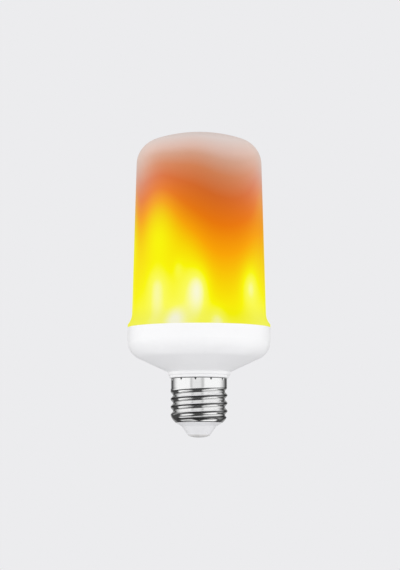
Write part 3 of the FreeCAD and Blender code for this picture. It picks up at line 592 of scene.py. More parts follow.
@dataclass(frozen=True)
class Solder(Finish):
    """Smooth tin solder with a soft ripple."""

    colour: Colour = srgb(206, 207, 210)
    patch: float = 0.9
    ripple: float = 0.6
    relief: float = 0.3
    dull: float = 0.7
    roughness: float = 0.22

    def surface(self, sheet: NodeSheet) -> dict[str, Value]:
        """Bright where it flowed, duller in patches of flux.

        Args:
            sheet: the material's tree.

        Returns:
            What goes to each socket of the shader.
        """
        flux = sheet.rise(sheet.noise(self.patch, 3.0), 0.5, 0.65)
        return {
            "Base Color": sheet.mix(flux, self.colour, scaled(self.colour, self.dull)),
            "Metallic": 1.0 - flux * 0.4,
            "Roughness": self.roughness + flux * 0.3,
            "Normal": sheet.bump(sheet.noise(self.ripple), self.relief),
        }


class Axis(Enum):
    """The direction that a component lies or stands in."""

    ACROSS = 0
    ALONG = 1
    UP = 2


@dataclass(frozen=True)
class Component(Finish):
    """A component whose case has one finish and whose tinned pins stick out beyond it.

    The case is a box about a middle, given by its half lengths, in millimetres.
    """

    middle: Size
    half: Size
    case: Colour
    pins: Colour = srgb(196, 198, 200)
    roughness: float = 0.5
    grain: float = 0.4
    relief: float = 0.3
    room: float = 0.02
    dull: float = 0.88

    def outside(self, sheet: NodeSheet) -> Signal:
        """Where the pins are.

        Args:
            sheet: the material's tree.

        Returns:
            1 beyond the case and 0 on it.
        """
        beyond = None
        for place, middle, half in zip(sheet.split(sheet.place()), self.middle, self.half):
            over = sheet.rise(abs(place - middle), half + self.room, half + self.room * 2)
            beyond = over if beyond is None else beyond.greater(over)
        return beyond

    def case_colour(self, sheet: NodeSheet, grain: Signal) -> Signal:
        """Colour of the case, a little uneven."""
        return sheet.mix(grain, scaled(self.case, self.dull), self.case)

    def surface(self, sheet: NodeSheet) -> dict[str, Value]:
        """Grained case and tinned pins.

        Args:
            sheet: the material's tree.

        Returns:
            What goes to each socket of the shader.
        """
        pin = self.outside(sheet)
        grain = sheet.noise(self.grain, 3.0)
        return {
            "Base Color": sheet.mix(pin, self.case_colour(sheet, grain), self.pins),
            "Metallic": pin,
            "Roughness": self.roughness + (grain - 0.5) * 0.2 - pin * 0.2,
            "Normal": sheet.bump(grain, self.relief, 0.03),
        }


@dataclass(frozen=True)
class SleevedCan(Component):
    """Electrolytic capacitor: a shrunk sleeve with a pale stripe, and bare aluminium on its far end."""

    axis: Axis = Axis.UP
    end: float = 0.0
    can_radius: float = 4.0
    curl: float = 0.65
    metal: Colour = srgb(214, 216, 218)
    stripe: Colour = srgb(188, 192, 196)

    def case_colour(self, sheet: NodeSheet, grain: Signal) -> Signal:
        """Sleeve, stripe down one side, and the end that the sleeve leaves bare.

        Args:
            sheet: the material's tree.
            grain: noise, which a smooth sleeve doesn't show.

        Returns:
            The colour.
        """
        places = [place - middle for place, middle in zip(sheet.split(sheet.place()), self.middle)]
        along = places.pop(self.axis.value)
        away = (places[0] * places[0] + places[1] * places[1]) ** 0.5
        lip = self.can_radius - self.curl
        bare = sheet.rise(along, self.end - 0.12, self.end - 0.06) * sheet.rise(away, lip + 0.1, lip - 0.1)
        side = sheet.rise(places[0], self.can_radius * 0.72, self.can_radius * 0.78)
        sleeve = sheet.mix(side, self.case, self.stripe)
        return sheet.mix(bare, sleeve, self.metal)


@dataclass(frozen=True)
class BandedSleeve(Component):
    """Resistor body with four colour bands round it."""

    bands: tuple[tuple[float, Colour], ...] = (
        (-2.4, srgb(112, 62, 30)),
        (-1.2, srgb(20, 20, 20)),
        (0.0, srgb(20, 20, 20)),
        (1.6, srgb(196, 158, 64)),
    )
    band_width: float = 0.6
    dull: float = 0.9

    def case_colour(self, sheet: NodeSheet, grain: Signal) -> Signal:
        """The body's colour under its bands.

        Args:
            sheet: the material's tree.
            grain: noise that makes the body a little uneven.

        Returns:
            The colour.
        """
        along = sheet.split(sheet.place())[0] - self.middle[0]
        colour = sheet.mix(grain, scaled(self.case, self.dull), self.case)
        for place, paint in self.bands:
            band = sheet.rise(abs(along - place), self.band_width * 0.55, self.band_width * 0.45)
            colour = sheet.mix(band, colour, paint)
        return colour


@dataclass(frozen=True)
class MagnetWire(Finish):
    """Enamelled copper wire in close turns round an upright core."""

    copper: Colour = srgb(176, 92, 44)
    wire: float = 0.32
    grain: float = 0.8
    dull: float = 0.75
    shadow: float = 0.25
    relief: float = 0.9
    roughness: float = 0.28
    enamel: float = 0.6

    def surface(self, sheet: NodeSheet) -> dict[str, Value]:
        """One ridge a turn, with painted shade between the turns.

        Args:
            sheet: the material's tree.

        Returns:
            What goes to each socket of the shader.
        """
        height = sheet.round_place()[2]
        across = (height / self.wire).fraction() * 2 - 1
        ridge = (1 - across * across).greater(0.0) ** 0.5
        tint = sheet.noise(self.grain)
        colour = sheet.mix(tint, scaled(self.copper, self.dull), self.copper)
        return {
            "Base Color": sheet.mix(ridge, scaled(self.copper, self.shadow), colour),
            "Metallic": 0.7,
            "Roughness": self.roughness + (tint - 0.5) * 0.1,
            "Coat Weight": self.enamel,
            "Normal": sheet.bump(ridge, self.relief, self.wire / 2),
        }


@dataclass(frozen=True)
class RolledNickel(Finish):
    """Bright nickel plate on the rolled shell, with painted dark reflections along its crests and painted
    shade in its grooves, at its top edge and in its dents.

    Places across the thread are shares of its pitch: a crest's flanks are measured from the crest, and
    the shelf, a painted dark reflection on the face under the lowest groove, from that groove. Its two ends
    are shares of a turn.
    """

    thread: ScrewThread = ScrewThread()
    dents: CrimpDents = CrimpDents()
    bright: Colour = srgb(246, 246, 246)
    # The dark colour of the painted reflections and painted shade on the nickel.
    painted_dark: Colour = srgb(44, 44, 46)
    crest_flank: tuple[float, float] = (0.10, 0.05)
    crest_dark: float = 0.97
    groove_flank: tuple[float, float] = (0.42, 0.5)
    groove_dark: float = 0.22
    top_edge: tuple[float, float] = (27.05, 27.17)
    top_dark: float = 0.75
    shelf_top: tuple[float, float] = (-0.04, -0.12)
    shelf_foot: tuple[float, float] = (-0.40, -0.31)
    shelf_start: tuple[float, float] = (0.0, 0.06)
    shelf_end: tuple[float, float] = (0.62, 0.5)
    shelf_dark: float = 0.9
    low_edge: tuple[float, float] = (7.4, 7.15)
    low_dark: float = 0.85
    cloud: float = 1.6
    roughness: float = 0.09
    ripple: float = 0.5
    relief: float = 0.05

    def surface(self, sheet: NodeSheet) -> dict[str, Value]:
        """A painted dark reflection along every crest, a soft grey painted shade in every groove, a painted
        shadow along the top edge, and painted dark reflections on the lower edge and the shelf.

        Args:
            sheet: the material's tree.

        Returns:
            What goes to each socket of the shader.
        """
        angle, _, height = sheet.round_place()
        phase = self.thread.phase(angle, height)
        there = self.thread.presence(sheet, angle, height)
        from_crest = abs(phase.fraction() - 0.5)
        # Painted dark reflection along every crest, and painted grey shade in every groove.
        crest = sheet.rise(from_crest, *self.crest_flank) * self.crest_dark
        groove = sheet.rise(from_crest, *self.groove_flank) * self.groove_dark
        # Painted shadow along the top edge of the shell, under the collar ring.
        top = sheet.rise(height, *self.top_edge) * self.top_dark
        # Painted dark reflection along the rounded lower edge.
        low = sheet.rise(height, *self.low_edge) * self.low_dark
        # Painted shade in the dents.
        dent = self.dents.share(sheet, angle, height)
        turn = self.thread.turn(angle)
        # Painted dark reflection on the shelf under the lowest groove.
        shelf = sheet.rise(phase, *self.shelf_top) * sheet.rise(phase, *self.shelf_foot)
        shelf = shelf * sheet.rise(turn, *self.shelf_start) * sheet.rise(turn, *self.shelf_end)
        cloud = sheet.noise(self.cloud, 3.0)
        # All of this painted shade and reflection darkens the nickel, with a little random cloud on top.
        dark = there * (crest + groove) + top + low + shelf * self.shelf_dark + dent
        shade = sheet.clamp(dark + (cloud - 0.5) * 0.1)
        return {
            "Base Color": sheet.mix(shade, self.bright, self.painted_dark),
            "Metallic": 1.0,
            "Roughness": self.roughness + cloud * 0.08 + shade * 0.1,
            "Normal": sheet.bump(sheet.noise(self.ripple), self.relief, 0.02),
        }


@dataclass(frozen=True)
class Tongue:
    """One tongue of the flame pattern.

    The angle is from the front, and the height from the lamp's tip. Spread is in degrees, and reach
    and tail are how far the tongue fades upwards and downwards, in millimetres.
    """

    angle: float
    height: float
    spread: float
    reach: float
    tail: float
    heat: float

    def glow(self, sheet: NodeSheet, angle: Signal, height: Signal, repeats: int) -> Signal:
        """The heat that this tongue and its repeats round the lamp add.

        Args:
            sheet: the material's tree.
            angle: the angle from the front, in degrees.
            height: the height, in millimetres.
            repeats: how often the tongue comes round the lamp.

        Returns:
            The heat there.
        """
        turn = sheet.maths("COSINE", (angle - self.angle) * (repeats * math.radians(1)))
        sideways = (turn - 1) * (2 / (repeats * math.radians(self.spread)) ** 2)
        over = (height - self.height).greater(0.0) / self.reach
        under = (height - self.height).lesser(0.0) / self.tail
        return sheet.maths("EXPONENT", sideways - over * over - under * under) * self.heat


@dataclass(frozen=True)
class FlameCover(Finish):
    """Frosted cover with the flame pattern of the light inside.

    Heat runs from 0, unlit frost near the crown, to 1, the core of a flame at the foot. A cool
    surface only reflects, and a hot one mostly glows. A painted sheen, a pale veil, lies over the sides
    near the crown, and the painted shade patches are places that are a little darker.
    """

    foot: float = 53.3
    top: float = 134.9
    foot_heat: float = 0.80
    foot_band: float = 7.0
    foot_dark: float = 0.07
    repeats: int = 2
    drift: float = 7.0
    crown: tuple[float, float] = (3.0, 23.0)
    tongues: tuple[Tongue, ...] = (
        Tongue(-37, 93, 20, 23, 19, 0.33),
        Tongue(-38, 66.5, 12, 9, 16, 0.19),
        Tongue(-60, 74, 18, 32, 30, 0.09),
        Tongue(-10, 70, 16, 22, 20, 0.19),
        Tongue(0, 67, 8.5, 9, 11, 0.18),
        Tongue(-18, 75.5, 4, 4, 4, 0.05),
        Tongue(-6, 116, 22, 25, 25, 0.055),
        Tongue(-20, 52, 8, 6, 6, 0.13),
        Tongue(15, 52, 7, 6, 6, 0.12),
        Tongue(49, 67.5, 10, 9, 8.5, 0.19),
        Tongue(62, 72, 20, 32, 30, 0.11),
        Tongue(72, 109, 15, 14, 13, 0.14),
        Tongue(-86, 113, 15, 13, 13, 0.14),
        Tongue(97, 88, 15, 22, 18, 0.28),
        Tongue(92, 63, 9, 9, 9, 0.16),
    )
    # Painted sheen: a pale veil over the sides near the crown, and half of it over the crown.
    painted_limb_sheen: Tongue = Tongue(90, 127, 34, 30, 17, 0.9)
    painted_sheen_colour: Colour = srgb(228, 213, 204)
    # Painted shade: patches in the middle and at the sides that are a little darker.
    painted_shade_patches: tuple[Tongue, ...] = (
        Tongue(10, 113, 38, 20, 18, 0.14),
        Tongue(90, 114, 22, 20, 26, 0.14),
    )
    frost: Colour = srgb(218, 203, 196)
    blush: Colour = srgb(217, 179, 162)
    clay: Colour = srgb(211, 155, 126)
    dusk: Colour = srgb(215, 127, 75)
    ember: Colour = srgb(222, 106, 24)
    orange: Colour = srgb(236, 121, 3)
    amber: Colour = srgb(248, 163, 0)
    gold: Colour = srgb(246, 208, 0)
    yellow: Colour = srgb(247, 243, 4)
    lemon: Colour = srgb(248, 248, 90)
    core: Colour = srgb(247, 246, 215)
    lit: float = 0.72
    lit_from: tuple[float, float] = (0.02, 0.3)
    grain: float = 0.3
    relief: float = 0.05
    roughness: float = 0.45
    shine: float = 0.03
    sheen: float = 0.012
    sheen_tint: Colour = (1.0, 0.86, 0.8)

    def heat(self, sheet: NodeSheet, front: Signal, height: Signal) -> Signal:
        """How hot the flame looks.

        Args:
            sheet: the material's tree.
            front: the angle from the front, in degrees.
            height: the height, in millimetres.

        Returns:
            The heat, from 0 to 1.
        """
        heat = (self.top - height) * (self.foot_heat / (self.top - self.foot))
        for tongue in self.tongues:
            heat = heat + tongue.glow(sheet, front, height, self.repeats)
        return sheet.clamp(heat)

    def surface(self, sheet: NodeSheet) -> dict[str, Value]:
        """The flame's colours, part lit from outside and part glowing, on a fine frosted grain.

        Args:
            sheet: the material's tree.

        Returns:
            What goes to each socket of the shader.
        """
        angle, radius, level = sheet.round_place()
        front = angle + 90
        side = sheet.rise(radius, *self.crown)
        behind = (1 - sheet.maths("COSINE", front * math.radians(1))) * side
        height = level - behind * (self.drift / 2)
        heat = self.heat(sheet, front, height)
        flame = sheet.add("ShaderNodeValToRGB", {"stops": [
            (0.0, self.frost),
            (0.07, self.blush),
            (0.11, self.clay),
            (0.18, self.dusk),
            (0.28, self.ember),
            (0.40, self.orange),
            (0.53, self.amber),
            (0.66, self.gold),
            (0.80, self.yellow),
            (0.90, self.lemon),
            (1.0, self.core),
        ]}, {0: heat})
        # Painted sheen over the sides and the crown.
        painted_limb_sheen = self.painted_limb_sheen.glow(sheet, front, height, self.repeats) * side + (1 - side) * 0.5
        colour = sheet.mix(painted_limb_sheen, flame, self.painted_sheen_colour)
        # Darker towards the foot, and darker still in the painted shade patches.
        shade = 1 - sheet.rise(level, self.foot + self.foot_band, self.foot) * self.foot_dark
        for dim in self.painted_shade_patches:
            shade = shade * (1 - dim.glow(sheet, front, height, self.repeats) * side)
        lit = sheet.rise(heat, *self.lit_from) * self.lit
        frost = sheet.noise(self.grain)
        return {
            "Base Color": sheet.tinted(colour, (1 - lit) * shade),
            "Roughness": self.roughness + (frost - 0.5) * 0.1,
            "Specular IOR Level": self.shine,
            "Sheen Weight": self.sheen,
            "Sheen Roughness": 0.35,
            "Sheen Tint": self.sheen_tint,
            "Emission Color": sheet.tinted(colour, lit * shade),
            "Emission Strength": 1.0,
            "Normal": sheet.bump(frost, self.relief, 0.02),
        }


@dataclass
class Enclosure:
    """The lamp's two mouldings: the frosted cover and the white bowl."""

    bowl_white: Colour = srgb(246, 246, 245)

    def build(self) -> None:
        """Dresses the cover and the bowl."""
        dress("diffuser", FlameCover("flame_cover"))
        dress("housing", Moulded("white_bowl", self.bowl_white))


@dataclass
class ScrewCap:
    """The lamp's cap: a rolled nickel shell, with the moulded nose and the contact that the frame holds."""

    thread: ScrewThread = ScrewThread()
    dents: CrimpDents = CrimpDents()
    low: float = 6.9
    top: float = 27.4
    lower_edge_radius: float = 10.7
    lower_curve: float = 6.0
    curve_top: float = 10.4
    band_radius: float = 12.9
    band_start: tuple[float, float] = (22.2, 22.8)
    bevel_from: float = 27.1
    blend: float = 0.25
    metal: float = 0.3
    inward: float = -1.0
    around: int = 288
    upward: int = 96
    merge: float = 1e-6
    nose: Colour = srgb(236, 236, 236)
    contact: Colour = srgb(234, 233, 230)

    def curve_centre(self) -> tuple[float, float]:
        """Centre of the arc that rounds the shell's lower end.

        Returns:
            Its radius and its height, in millimetres.
        """
        run = self.thread.crest_radius - self.lower_edge_radius
        climb = self.curve_top - self.low
        chord = math.hypot(run, climb)
        reach = math.sqrt(self.lower_curve ** 2 - chord ** 2 / 4)
        return (
            (self.lower_edge_radius + self.thread.crest_radius) / 2 - reach * climb / chord,
            (self.low + self.curve_top) / 2 + reach * run / chord,
        )

    def radius(self, sheet: NodeSheet, angle: Signal, height: Signal) -> Signal:
        """Radius of the outside of the shell.

        Args:
            sheet: the tree of the shape.
            angle: the angle, in degrees.
            height: the height, in millimetres.

        Returns:
            The radius there, in millimetres.
        """
        centre, level = self.curve_centre()
        drop = (height - level).lesser(0.0)
        curve = centre + (self.lower_curve ** 2 - drop * drop) ** 0.5
        wall = self.thread.crest_radius - self.thread.hollow(sheet, angle, height)
        body = sheet.maths("SMOOTH_MIN", curve, wall, self.blend)
        band = self.band_radius - (height - self.bevel_from).greater(0.0)
        share = sheet.rise(height, *self.band_start)
        dent = self.dents.share(sheet, angle, height) * self.dents.depth
        return body + (body.lesser(band) - body) * share - dent

    def shell_tree(self) -> tuple[bpy.types.NodeTree, dict[str, str]]:
        """Builds the tree of shape nodes that rolls the shell from a flat grid.

        Returns:
            The tree, and the identifier of each of its inputs by name.
        """
        tree = bpy.data.node_groups.new("roll_shell", "GeometryNodeTree")
        ids = {}
        tree.interface.new_socket("Geometry", in_out="INPUT", socket_type="NodeSocketGeometry")
        for name, kind in (("Low", "Float"), ("Top", "Float"), ("Finish", "Material")):
            socket = tree.interface.new_socket(name, in_out="INPUT", socket_type=f"NodeSocket{kind}")
            ids[name] = socket.identifier
        tree.interface.new_socket("Geometry", in_out="OUTPUT", socket_type="NodeSocketGeometry")
        sheet = NodeSheet(tree)
        given = sheet.node("NodeGroupInput")
        low, top, finish = (Signal(sheet, given.outputs[name]) for name in ("Low", "Top", "Finish"))
        grid = sheet.add("GeometryNodeMeshGrid", sockets={
            "Size X": 1.0, "Size Y": 1.0,
            "Vertices X": self.around + 1, "Vertices Y": self.upward + 1,
        }, output="Mesh")
        across, upward, _ = sheet.split(sheet.add("GeometryNodeInputPosition"))
        angle = (across + 0.5) * 360
        height = low + (upward + 0.5) * (top - low)
        radius = self.radius(sheet, angle, height) * MM
        turn = angle * math.radians(1)
        point = sheet.add("ShaderNodeCombineXYZ", sockets={
            0: sheet.maths("COSINE", turn) * radius,
            1: sheet.maths("SINE", turn) * radius,
            2: height * MM,
        })
        rolled = sheet.add("GeometryNodeSetPosition", sockets={"Geometry": grid, "Position": point})
        closed = sheet.add("GeometryNodeMergeByDistance", sockets={
            "Geometry": rolled, "Distance": self.merge,
        })
        smooth = sheet.add("GeometryNodeSetShadeSmooth", sockets={"Geometry": closed})
        real = sheet.add("GeometryNodeRealizeInstances", sockets={"Geometry": smooth})
        dressed = sheet.add("GeometryNodeSetMaterial", sockets={"Geometry": real, "Material": finish})
        sheet.node("NodeGroupOutput", sockets={0: dressed})
        return tree, ids

    def build(self) -> None:
        """Rolls the shell, gives it its wall and dresses the cap's three pieces."""
        carrier = bpy.data.objects.new("shell_carrier", bpy.data.meshes.new("shell_carrier"))
        bpy.context.scene.collection.objects.link(carrier)
        tree, ids = self.shell_tree()
        modifier = carrier.modifiers.new("roll", "NODES")
        modifier.node_group = tree
        modifier[ids["Low"]] = self.low
        modifier[ids["Top"]] = self.top
        modifier[ids["Finish"]] = RolledNickel("rolled_nickel", self.thread, self.dents).make()
        wall = carrier.modifiers.new("wall", "SOLIDIFY")
        wall.thickness = self.metal * MM
        wall.offset = self.inward
        piece = baked(carrier, "rolled_shell")
        attach(piece)
        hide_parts("screw_shell")
        dress("cap_insulator", Moulded("cap_nose", self.nose, roughness=0.35))
        dress("centre_contact", Metal("contact_plate", self.contact, roughness=0.5, polish=0.2))
        log.info("rolled the shell, %d faces", len(piece.data.polygons))


def millimetres(node: str) -> tuple[Vector, Vector]:
    """Middle and half lengths of a node's box, in millimetres."""
    low, high = (Vector(corner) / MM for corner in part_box(node))
    return (low + high) / 2, (high - low) / 2


@dataclass
class LightColumn:
    """The column inside the cover, with its boards, LEDs and control chip."""

    led_columns: int = 12
    column_plastic: Colour = srgb(228, 228, 222)
    board_mask: Colour = srgb(226, 228, 220)
    board_copper: Colour = srgb(238, 239, 232)
    top_led_circle: float = 9.0
    top_led_count: int = 3
    top_led_start: float = -90.0
    chip_half: Size = (4.95, 1.95, 0.76)
    chip_epoxy: Colour = srgb(34, 34, 36)

    def build(self) -> None:
        """Dresses the column's pieces."""
        dress("light_column", Moulded("column_plastic", self.column_plastic, roughness=0.5))
        dress("led_wrap_board", FlexBoard("flex_board", columns=self.led_columns))
        dress("side_leds", LedPackage("side_led_package", count=self.led_columns))
        dress("top_led_board", CircuitBoard("light_board", self.board_mask, self.board_copper))
        dress("top_leds", LedPackage("top_led_package", LedLayout.RING_ON_TOP, self.top_led_count,
                                     self.top_led_circle, start_angle=self.top_led_start))
        dress("edge_solder", Solder("edge_solder"))
        middle, _ = millimetres("control_chip")
        dress("control_chip", Component("control_chip_epoxy", tuple(middle), self.chip_half,
                                        self.chip_epoxy))


@dataclass
class PowerSupply:
    """The supply board in the bowl, the components on it and the leads to it.

    Places on the board are across and along it. Half lengths and heights are of the cases, without
    their pins. All are in millimetres.
    """

    board_top: float = 37.6
    mask_depth: float = 0.5
    input_place: tuple[float, float] = (0.0, -10.2)
    input_radius: float = 4.0
    input_half_length: float = 6.0
    output_place: tuple[float, float] = (-11.0, 3.0)
    output_radius: float = 3.15
    output_half_height: float = 3.75
    block_half_height: float = 3.7
    fuse_middle: Size = (0.0, -3.4, 39.4)
    fuse_half: Size = (3.8, 1.5, 1.5)
    driver_chip_half: Size = (2.45, 1.95, 0.76)
    bridge_half: Size = (3.2, 2.6, 1.21)
    can_sleeve: Colour = srgb(30, 36, 58)
    ferrite: Colour = srgb(52, 52, 54)
    film_case: Colour = srgb(206, 150, 40)
    fuse_body: Colour = srgb(98, 132, 146)
    chip_epoxy: Colour = srgb(34, 34, 36)
    bridge_epoxy: Colour = srgb(38, 38, 40)
    screw_steel: Colour = srgb(190, 192, 196)
    positive: Colour = srgb(176, 30, 26)
    negative: Colour = srgb(28, 28, 30)

    def cans(self) -> None:
        """Dresses the two electrolytic capacitors, whose sleeves leave one end bare."""
        lying, standing = self.input_radius, self.output_half_height
        dress("input_capacitor", SleevedCan(
            "input_can_sleeve", (*self.input_place, self.board_top + lying),
            (self.input_half_length, lying, lying), self.can_sleeve, roughness=0.32, relief=0.1,
            axis=Axis.ACROSS, end=self.input_half_length, can_radius=lying))
        dress("output_capacitor", SleevedCan(
            "output_can_sleeve", (*self.output_place, self.board_top + standing),
            (self.output_radius, self.output_radius, standing), self.can_sleeve, roughness=0.32, relief=0.1,
            axis=Axis.UP, end=standing, can_radius=self.output_radius))

    def blocks(self) -> None:
        """Dresses the choke's core and the film capacitor, whose cases leave their pins bare."""
        for node, name, colour, roughness, relief in (
                ("choke_core", "ferrite", self.ferrite, 0.7, 0.6),
                ("film_capacitor", "film_case", self.film_case, 0.35, 0.3)):
            middle, half = millimetres(node)
            dress(node, Component(
                name, (middle.x, middle.y, self.board_top + self.block_half_height),
                (half.x, half.y, self.block_half_height), colour, roughness=roughness, relief=relief))

    def chips(self) -> None:
        """Dresses the two packages under the board."""
        for node, name, half, colour in (
                ("driver_chip", "driver_chip_epoxy", self.driver_chip_half, self.chip_epoxy),
                ("bridge_rectifier", "bridge_epoxy", self.bridge_half, self.bridge_epoxy)):
            dress(node, Component(name, tuple(millimetres(node)[0]), half, colour))

    def build(self) -> None:
        """Dresses the supply board, its components and the leads."""
        dress("driver_board", CircuitBoard("supply_board", copper_below=self.board_top - self.mask_depth))
        self.cans()
        self.blocks()
        self.chips()
        dress("choke_winding", MagnetWire("magnet_wire"))
        dress("fusible_resistor", BandedSleeve("fuse_body", self.fuse_middle, self.fuse_half,
                                               self.fuse_body, roughness=0.6))
        dress("foot_screws", Metal("screw_steel", self.screw_steel, roughness=0.34))
        for colour, nodes in ((self.positive, ("live_lead", "light_lead_positive")),
                              (self.negative, ("neutral_lead", "light_lead_negative"))):
            for node in nodes:
                dress(node, Moulded(f"{node}_sleeve", colour, roughness=0.38, grain=0.2, relief=0.08))


def baked(carrier: bpy.types.Object, name: str) -> bpy.types.Object:
    """Turns an object with live modifiers into a plain one, and removes it.

    Args:
        carrier: the object with the modifiers.
        name: the name of the plain object.

    Returns:
        The plain object.
    """
    graph = bpy.context.evaluated_depsgraph_get()
    mesh = bpy.data.meshes.new_from_object(carrier.evaluated_get(graph), depsgraph=graph)
    mesh.name = name
    piece = bpy.data.objects.new(name, mesh)
    bpy.context.scene.collection.objects.link(piece)
    bpy.data.objects.remove(carrier)
    return piece


def attach(piece: bpy.types.Object) -> None:
    """Lets a piece ride on the lamp."""
    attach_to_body(piece, BODY)


def dress(node: str, finish: Finish) -> None:
    """Gives a piece of the frame its finish.

    Args:
        node: the piece's name.
        finish: the finish.
    """
    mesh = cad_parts[node].data
    mesh.materials.clear()
    mesh.materials.append(finish.make())
    log.info("dressed %s with %s", node, finish.name)


@dataclass(frozen=True)
class Wall:
    """An upright panel that polished metal shows, by its soft edges in degrees, each from dark to bright.

    A turn is measured from the front towards the right, and a rise from level.
    """

    first_edge: tuple[float, float]
    last_edge: tuple[float, float]
    foot: tuple[float, float]
    light: float = 1.0

    def shine(self, sheet: NodeSheet, turn: Signal, rise: Signal) -> Signal:
        """How bright the panel is in one direction.

        Args:
            sheet: the tree of the surroundings.
            turn: the direction's turn, in degrees.
            rise: its rise, in degrees.

        Returns:
            The panel's light there, and 0 beside it.
        """
        across = sheet.rise(turn, *self.first_edge) * sheet.rise(turn, *self.last_edge)
        return across * sheet.rise(rise, *self.foot) * self.light


@dataclass(frozen=True)
class RoundPanel:
    """A round panel that polished metal shows, by the direction of its middle and its radius in degrees."""

    direction: tuple[float, float, float]
    radius: float
    light: float = 1.0
    edge: float = 4.0

    def shine(self, sheet: NodeSheet, towards: Signal) -> Signal:
        """How bright the panel is in one direction.

        Args:
            sheet: the tree of the surroundings.
            towards: the direction.

        Returns:
            The panel's light there, and 0 beside it.
        """
        facing = sheet.add("ShaderNodeVectorMath", {"operation": "DOT_PRODUCT"}, {
            0: towards, 1: tuple(Vector(self.direction).normalized()),
        }, output="Value")
        outer, inner = (math.cos(math.radians(self.radius + edge)) for edge in (self.edge, -self.edge))
        return sheet.rise(facing, outer, inner) * self.light


@dataclass(frozen=True)
class SoftLamp:
    """A square soft lamp, with its place and size in millimetres and its power in watts."""

    name: str
    place: tuple[float, float, float]
    power: float
    size: float = 600.0

    def hang(self, aim: Vector) -> None:
        """Adds the lamp to the scene, out of the metal's sight.

        Args:
            aim: the point that it faces, in metres.
        """
        light = bpy.data.lights.new(self.name, "AREA")
        light.size = self.size * MM
        light.energy = self.power
        holder = bpy.data.objects.new(self.name, light)
        holder.location = Vector(self.place) * MM
        holder.rotation_euler = (aim - holder.location).to_track_quat("-Z", "Y").to_euler()
        holder.visible_glossy = False
        bpy.context.scene.collection.objects.link(holder)


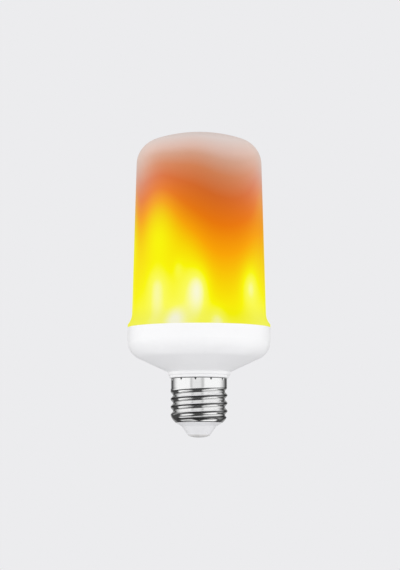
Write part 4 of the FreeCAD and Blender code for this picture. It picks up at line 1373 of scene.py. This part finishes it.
@dataclass
class Studio:
    """Pale floor, soft lamps, and the camera at the photograph's angle."""

    floor_level: float = -100.0
    floor_radius: float = 3000.0
    floor_sides: int = 96
    floor_fade: tuple[float, float] = (250.0, 700.0)
    floor_colour: Colour = srgb(236, 236, 238)
    floor_paint: Colour = srgb(232, 232, 234)
    camera_distance: float = 1200.0
    camera_below: float = 5.0
    frame_height: float = 264.0
    aim: tuple[float, float, float] = (0.45, 0.0, 70.6)
    sensor: float = 36.0
    ambient: float = 1.10
    lamps: tuple[SoftLamp, ...] = (
        SoftLamp("key_lamp", (-1050.0, -650.0, 260.0), 3.0),
        SoftLamp("fill_lamp", (1050.0, -600.0, 120.0), 3.1),
    )
    walls: tuple[Wall, ...] = (
        Wall((9.0, 26.0), (150.0, 90.0), (-44.0, -32.0)),
        Wall((-25.0, -41.0), (-150.0, -96.0), (-15.0, -3.0)),
        Wall((-22.0, -38.0), (-94.0, -78.0), (-42.0, -30.0), 0.4),
    )
    front_wall: Wall = Wall((-70.0, -50.0), (54.0, 34.0), (-13.0, -1.0), 0.84)
    front_middle: float = -9.5
    front_edge: tuple[float, float] = (14.0, 23.0)
    front_edge_dark: float = 0.3
    back_wall: Wall = Wall((146.0, 162.0), (200.0, 190.0), (-42.0, -25.0), 0.34)
    low_panels: tuple[RoundPanel, ...] = (
        RoundPanel((-0.42, 0.18, -0.88), 21.0),
        RoundPanel((0.38, 0.20, -0.89), 19.0),
        RoundPanel((0.53, 0.0, -0.85), 7.0, 0.5),
    )
    ceiling_edge: tuple[float, float] = (28.0, 56.0)
    ceiling: float = 0.52
    ceiling_sides: tuple[float, float] = (55.0, 100.0)
    ceiling_gain: float = 0.3
    dark: float = 0.06

    def reflections(self, sheet: NodeSheet) -> Signal:
        """How bright the surroundings look in polished metal: white sides, a grey front and a dark floor.

        Args:
            sheet: the tree of the surroundings.

        Returns:
            The light, from 0 to 1.
        """
        towards = sheet.add("ShaderNodeTexCoord", output="Generated")
        across, along, upward = sheet.split(towards)
        turn = sheet.maths("ARCTAN2", across, -along) * math.degrees(1)
        rise = sheet.maths("ARCSINE", upward) * math.degrees(1)
        edges = sheet.rise(abs(turn - self.front_middle), *self.front_edge) * self.front_edge_dark
        light = self.front_wall.shine(sheet, turn, rise) * (1 - edges)
        light = light.greater(self.back_wall.shine(sheet, abs(turn), rise))
        for wall in self.walls:
            light = light.greater(wall.shine(sheet, turn, rise))
        for panel in self.low_panels:
            light = light.greater(panel.shine(sheet, towards))
        gain = sheet.rise(abs(turn), *self.ceiling_sides) * self.ceiling_gain
        overhead = sheet.rise(rise, *self.ceiling_edge) * (self.ceiling + gain)
        return sheet.clamp(light.greater(overhead).greater(self.dark))

    def backdrop_world(self) -> None:
        """Pale surroundings: plain for the eye and for light, with panels for the metal to show."""
        world = bpy.data.worlds.new("studio")
        bpy.context.scene.world = world
        world.use_nodes = True
        sheet = NodeSheet(world.node_tree)
        rays = sheet.node("ShaderNodeLightPath")
        seen = Signal(sheet, rays.outputs["Is Camera Ray"])
        mirrored = Signal(sheet, rays.outputs["Is Glossy Ray"])
        plain = sheet.add("ShaderNodeBackground", sockets={
            "Color": self.floor_colour, "Strength": self.ambient,
        })
        view = sheet.add("ShaderNodeBackground", sockets={"Color": self.floor_colour, "Strength": 1.0})
        gloss = sheet.add("ShaderNodeBackground", sockets={
            "Color": (1.0, 1.0, 1.0), "Strength": self.reflections(sheet),
        })
        lit = sheet.add("ShaderNodeMixShader", sockets={0: mirrored, 1: plain, 2: gloss})
        sheet.node("ShaderNodeOutputWorld", sockets={
            "Surface": sheet.add("ShaderNodeMixShader", sockets={0: seen, 1: lit, 2: view}),
        })

    def floor(self) -> None:
        """A round pale floor that fades into the surroundings, and is clear from below."""
        bpy.ops.mesh.primitive_circle_add(
            vertices=self.floor_sides, radius=self.floor_radius * MM, fill_type="TRIFAN",
            location=(0, 0, self.floor_level * MM))
        floor = bpy.context.object
        floor.name = "floor"
        material = bpy.data.materials.new("pale_floor")
        material.use_nodes = True
        sheet = NodeSheet(material.node_tree)
        away = sheet.add("ShaderNodeVectorMath", {"operation": "LENGTH"}, {0: sheet.place()},
                         output="Value")
        plain = sheet.add("ShaderNodeBsdfDiffuse", sockets={"Color": self.floor_paint})
        seen = Signal(sheet, sheet.node("ShaderNodeLightPath").outputs["Is Camera Ray"])
        bright = sheet.add("ShaderNodeEmission", sockets={"Color": self.floor_colour, "Strength": 1.0})
        faded = sheet.add("ShaderNodeMixShader", sockets={
            0: sheet.rise(away, *self.floor_fade) * seen, 1: plain, 2: bright,
        })
        under = sheet.add("ShaderNodeNewGeometry", output="Backfacing")
        clear = sheet.add("ShaderNodeBsdfTransparent")
        sheet.node("ShaderNodeOutputMaterial", sockets={
            "Surface": sheet.add("ShaderNodeMixShader", sockets={0: under, 1: faded, 2: clear}),
        })
        floor.data.materials.append(material)
        floor.visible_glossy = False

    def camera(self) -> None:
        """The camera, slightly below the lamp and looking up at it through a long lens."""
        data = bpy.data.cameras.new("camera")
        data.sensor_width = self.sensor
        data.lens = self.sensor * self.camera_distance / self.frame_height
        camera = bpy.data.objects.new("camera", data)
        tilt = math.radians(self.camera_below)
        back = Vector((0.0, -math.cos(tilt), -math.sin(tilt)))
        camera.location = (Vector(self.aim) + back * self.camera_distance) * MM
        camera.rotation_euler = (-back).to_track_quat("-Z", "Y").to_euler()
        bpy.context.scene.collection.objects.link(camera)
        bpy.context.scene.camera = camera

    def build(self) -> None:
        """Sets up everything around the lamp."""
        self.backdrop_world()
        self.floor()
        for lamp in self.lamps:
            lamp.hang(Vector(self.aim) * MM)
        self.camera()
        bpy.context.scene.view_settings.view_transform = "Standard"
        log.info("studio is set up")


def main() -> None:
    """Builds the lamp's pieces in order, and the studio around them."""
    logging.basicConfig(level=logging.INFO, format="%(name)s: %(message)s")
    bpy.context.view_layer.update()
    Studio().build()
    for part in (Enclosure(), ScrewCap(), LightColumn(), PowerSupply()):
        part.build()


if __name__ == "__main__":
    main()
